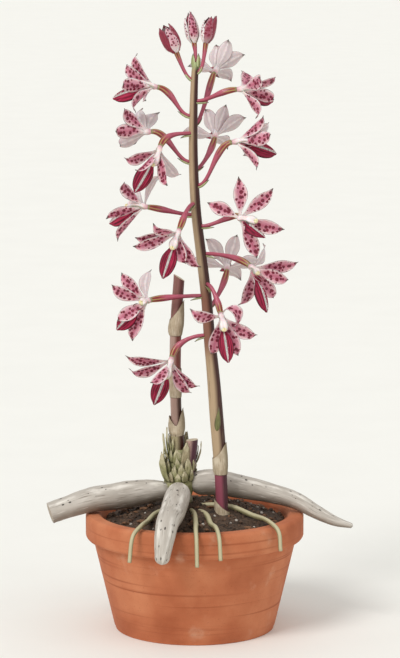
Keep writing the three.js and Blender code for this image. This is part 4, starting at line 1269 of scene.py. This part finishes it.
# Blooms

def tepal_outline(t):
    """A tepal's outline: a narrow claw, broadest past the middle, and a point."""
    return smooth([0.2, 0.24, 0.4, 0.62, 0.83, 0.97, 1, 0.9, 0.66, 0.31, 0.02], t)


def lip_outline(t):
    """The lip's outline: a long claw and a round blade."""
    return smooth([0.24, 0.26, 0.3, 0.46, 0.75, 0.95, 1, 0.96, 0.83, 0.58, 0.12], t)


def stance(bloom):
    """A bloom's heart, and the way that it faces."""
    return Vector(bloom["heart"]), Vector(bloom["faces"]).normalized()


def broad_side(faces, reach):
    """The way a blade's inner side faces, with a little twist so that it is not seen on edge."""
    way = reach.normalized()
    inner = (faces - way * faces.dot(way)).normalized()
    inner.y += math.copysign(TWIST, inner.y)
    return inner


def tepal(bloom, k, seed, draw):
    """A tepal: cupped, grooved along its middle, wavy at its edges and hooked back at its tip. A back
    that looks away is pale, with its blotches faint."""
    heart, faces = stance(bloom)
    reach = reach_to(bloom["tips"][k], TEPAL["reach"])
    facing = Vector(bloom["looks"][k]) if k in bloom.get("looks", {}) else broad_side(faces, reach)
    cup = TEPAL["cup"]
    bends = [
        heart + reach * share + faces * lift
        for share, lift in ((0.06, 0.2), (0.3, cup), (0.75, 1.6 * cup), (1, 0))
    ]
    if k in bloom.get("rolled", {}):
        bends = [heart + Vector(place) for place in bloom["rolled"][k]]
    line = curve(bends, 22)
    run = span(line)
    side = reach.cross(facing).normalized()
    sway, hook, ruffle = draw.uniform(-0.8, 0.8), TEPAL["hook"] * draw.uniform(0.5, 1.2), draw.uniform(0, 6)
    for step, place in enumerate(line):
        t = step / (len(line) - 1)
        curl = rise(0.74, 1, t) ** 2
        place += side * (sway * math.sin(math.pi * t)) - faces * (hook * curl)

    def lift(u, t):
        wave = 0.22 * math.sin(9 * t + ruffle) * u * abs(u) * rise(0.1, 0.5, t)
        groove = -0.14 * math.exp(-((u / 0.2) ** 2))
        return (TEPAL["channel"] * u * u + groove) * tepal_outline(t) + wave

    at = arched(line, facing, TEPAL["width"], tepal_outline, lift)
    inside = 1 if k in bloom.get("white", ()) else 0
    outside = inside
    if bloom.get("plain_backs"):
        outside = 1
    elif facing.y < 0 and not inside:
        outside = FAINT
    blade = leaf("tepal", at, TEPAL["thick"], run, seed, face=(inside, 0, 0), back=(outside, 0, 0))
    return dressed(blade, PETAL)


def lip_side(bloom):
    """The way from the heart to the lip, square to the way the bloom faces."""
    _, faces = stance(bloom)
    reach = reach_to(bloom["lip"], LIP["reach"])
    return (reach - faces * reach.dot(faces)).normalized()


def column(bloom):
    """The column flares and flattens towards its tip, bends over the lip, and ends in its anther cap."""
    heart, faces = stance(bloom)
    down, share = lip_side(bloom), bloom.get("column_share", 1)
    way = Vector(bloom["column_way"]).normalized() if "column_way" in bloom else faces
    line = [heart + (way * forward + down * drop) * share for forward, drop in COLUMN["run"]]
    line = through([heart - faces * HEART, *line], 22)

    def flat(turn, t):
        wide, deep = smooth(COLUMN["wide"], t), smooth(COLUMN["deep"], t)
        return math.hypot(wide * math.sin(turn), deep * math.cos(turn))

    body = dressed(stalk("column", line, COLUMN["radii"], 20, -down, flat), FLESH)
    tip, side = line[-1], way.cross(down).normalized()

    def cap_place(turn, t, girth):
        angle = math.pi * (0.04 + 0.92 * t)
        radius = math.sin(angle) * girth
        notch = 1 - ANTHER_CAP["notch"] * math.exp(-((math.sin(turn) / 0.25) ** 2))
        over = side.cross(way)
        out = side * math.sin(turn) * ANTHER_CAP["wide"] + over * math.cos(turn) * ANTHER_CAP["deep"] * notch
        ahead = 0.2 - ANTHER_CAP["long"] * math.cos(angle)
        point = tip + way * ahead - down * ANTHER_CAP["sunk"] + out * radius
        return point, {"round": (math.cos(turn), math.sin(turn), t), "share": (0, t, 0)}

    return [body, dressed(skin("cap", 16, 10, cap_place), ANTHER)]


def lip(number, bloom):
    """The lip: two velvet halves that puff out beside a band of down, and two horns at its claw."""
    draw = random.Random(500 + number)
    heart, faces = stance(bloom)
    reach, down = reach_to(bloom["lip"], LIP["reach"]), lip_side(bloom)
    bends = [
        heart + down * 1.4 + faces * 1.6, heart + reach * 0.35 + faces * 3.4, heart + reach * 0.7 + faces * 3,
        heart + reach + faces * 1.6,
    ]
    line = curve(bends, 26)
    facing = Vector(bloom["lip_looks"]) if "lip_looks" in bloom else broad_side(faces, reach)

    def lift(u, t):
        lamina = rise(0.22, 0.5, t)
        puff = LIP["puff"] * lamina * math.sin(math.pi * min(abs(u) * 1.05, 1))
        band = 0.35 * lamina * math.exp(-((u / LIP["band"]) ** 2))
        return (puff - LIP["keel"] * u * u) * lip_outline(t) + band

    at = arched(line, facing, bloom.get("lip_width", LIP["width"]), lip_outline, lift)
    parts = [dressed(leaf("blade", at, LIP["thick"], reach.length, number, sides=36, rings=26), VELVET)]
    middle = HAIR["length"] / 2 - HAIR["sunk"]
    bpy.ops.mesh.primitive_cone_add(vertices=3, radius1=HAIR["radius"] * MM, radius2=0,
                                    depth=HAIR["length"] * MM, location=(0, 0, middle * MM))
    bpy.ops.object.transform_apply(location=True)
    hair = dressed(bpy.context.object, DOWN)
    spots = []
    for _ in range(LIP["hairs"]):
        u, t = draw.uniform(-1, 1) * LIP["band"], draw.uniform(0.36, 0.93)
        place, normal, _ = at(u, t)
        lean = normal + Vector([draw.uniform(-0.5, 0.5) for _ in range(3)])
        seat = Matrix.Translation((place + normal * 0.2) * MM)
        turn = lean.to_track_quat("Z", "Y").to_matrix().to_4x4()
        spots.append(seat @ turn @ Matrix.Scale(draw.uniform(0.6, 1.1), 4))
    parts += copies(hair, spots)
    side = reach.cross(facing).normalized()
    for way in (-1, 1):
        root = line[3] + side * (way * 0.8)
        horn = curve([root + side * way * out + faces * up for out, up in HORN["bends"]], 10)
        horn_at = arched(horn, side * -way, HORN["width"], pointed, lambda u, t: 0.2 * u * u)
        made = leaf("horn", horn_at, HORN["thick"], HORN["length"], number, sides=12, rings=10)
        parts.append(dressed(made, VELVET))
    set_out(f"lip_{number:02d}", parts, f"bloom_{number:02d}_lip")


def blooms():
    """The open blooms, each as its petals with the column, its lip and its ribbed stalk."""
    for number, bloom in enumerate(BLOOMS, 1):
        draw = random.Random(number)
        parts = [tepal(bloom, k, 5 * number + k, draw) for k in range(len(bloom["tips"]))]
        parts += column(bloom)
        set_out(f"petals_{number:02d}", parts, f"bloom_{number:02d}_tepals")
        lip(number, bloom)

        def ribs(turn, t):
            return 1 + 0.09 * math.cos(PEDICEL["ribs"] * turn) * rise(0.55, 0.8, t)

        piece = dressed(stalk("pedicel", pedicel_line(bloom), PEDICEL["radii"], 24, LIT, ribs), STALK_SKIN)
        set_out(f"stalk_{number:02d}", [piece], f"bloom_{number:02d}_pedicel")


# Buds

def bud_run(table):
    """A bud's neck, and the way and the length from there to its tip."""
    neck = Vector(table["neck"])
    run = Vector(table["tip"]) - neck
    return neck, run.normalized(), run.length


def bud_stalk_line(table):
    """The line of a bud's stalk, out of the stem and straight into the bud."""
    neck, grow, _ = bud_run(table)
    way = Vector(table["out"]).normalized()
    axis = flower_axis(table["foot"])
    start = axis if way.z > 0.9 else axis + way * (stem_radius(FLOWER_STEM, table["foot"]) - 0.4)
    return curve((start, start + way * 3, neck - grow * 4, neck + grow), 24)


def bud_bract(table):
    """The small leaf that lies close under the foot of a bud's stalk."""
    line = bud_stalk_line(table)[:10]
    tangents = ways(line)
    below = [place + tangent.cross(tangent.cross(UP)).normalized() * 1.25 - tangents[0] * 0.8
             for place, tangent in zip(line, tangents)]
    return small_leaf(evenly(below, 9), UP, BUD_BRACT, 140)


def bud(side, number):
    """A bud: petals that wrap round its middle line and close or part at the tip."""
    table = BUDS[side]
    neck, grow, length = bud_run(table)
    front = (FRONT - grow * FRONT.dot(grow)).normalized()
    right = grow.cross(front)

    def core_place(turn, t, girth):
        radius = table["girth"] * 0.86 * smooth([0.35, 0.8, 1, 1, 0.9, 0.7, 0.35], t) * girth
        out = front * math.cos(turn) + right * math.sin(turn)
        found = {"leaf": (radius * turn, t * length, 0), "share": (0, t, 0), "face": (0, 0.5, 0)}
        return neck + grow * (t * length * 0.9) + out * radius, found

    parts = [dressed(skin("core", 20, 18, core_place), PETAL)]
    for k, (turn_to, cover, share, stand, crimson, white) in enumerate(table["petals"]):
        middle = math.radians(turn_to)
        half_cover = math.radians(cover) / 2
        seed = APART * (number * 7 + k)

        def place(turn, t, girth):
            u, depth = math.sin(turn) * girth, math.cos(turn)
            angle = middle + u * half_cover * smooth([0.7, 0.9, 1, 1, 0.92, 0.72, 0.1], t)
            body = smooth([0.4, 0.86, 1.02, 1.03, 0.95, 0.78, 0.5], t) * table["girth"]
            radius = body + 0.12 * k + stand * t * t + depth * 0.22 * girth
            out = front * math.cos(angle) + right * math.sin(angle)
            inner = 0.25 * (1 - u * u) * girth
            found = {
                "leaf": (BUD_GRAIN * u * half_cover * body + seed, BUD_GRAIN * t * length, 0),
                "share": (u, t * 0.94, abs(u)),
                "face": (0, crimson, white),
            }
            return neck + grow * (t * length * share) + out * (radius + inner), found

        parts.append(dressed(skin("petal", 24, 20, place), PETAL))
    line = bud_stalk_line(table)
    parts.append(dressed(stalk("handle", line, [0.75, 0.82, 0.9, 1.15, 1.35], 20, LIT), STALK_SKIN))
    set_out(f"{side}_bud", parts, f"bud_{side}")


# The stage: a pale floor, soft light from the upper left, and a long lens that looks a little down

def stage():
    """The floor, the sky, the lamps and the camera."""
    bpy.ops.mesh.primitive_plane_add(size=60)
    floor = bpy.context.object
    floor.name = "paper_floor"
    material, tree = finish("matt_paper", {"Roughness": 1.0, "Specular IOR Level": 0.1})
    where = add(tree, "TexCoord").outputs["Object"]
    colour = add(tree, "ValToRGB", {0: cloudy(tree, where, 0.05)}, stops=[(0.3, "#f0efe9"), (0.7, "#f2f1eb")])
    dressed(floor, worn(material, colour.outputs["Color"]))

    scene = bpy.context.scene
    world = bpy.data.worlds.new("studio")
    world.use_nodes = True
    sky = world.node_tree.nodes["Background"]
    sky.inputs["Color"].default_value = paint(SKY["colour"])
    sky.inputs["Strength"].default_value = SKY["strength"]
    scene.world = world
    scene.view_settings.view_transform = "Standard"
    for name, (turn, strength, width) in LAMPS.items():
        light = bpy.data.lights.new(name, "SUN")
        light.energy, light.angle = strength, math.radians(width)
        lamp = bpy.data.objects.new(name, light)
        lamp.rotation_euler = [math.radians(a) for a in turn]
        scene.collection.objects.link(lamp)

    low, high = cad_box
    lens = bpy.data.cameras.new("camera")
    lens.lens, lens.sensor_width, lens.clip_end = CAMERA["lens"], CAMERA["sensor"], CAMERA["far"]
    camera = bpy.data.objects.new("camera", lens)
    tilt = math.radians(CAMERA["tilt"])
    aim = Vector(((low[0] + high[0]) / 2, 0, CAMERA["aim"]))
    camera.location = aim + Vector((0, -math.cos(tilt), math.sin(tilt))) * CAMERA["distance"]
    camera.rotation_euler = (aim - camera.location).to_track_quat("-Z", "Y").to_euler()
    scene.collection.objects.link(camera)
    scene.camera = camera


clay_pot()
potting_soil()
flowering_stem()
older_stems()
crown()
thick_roots()
thin_roots()
blooms()
for number, side in enumerate(BUDS):
    bud(side, number)
stage()
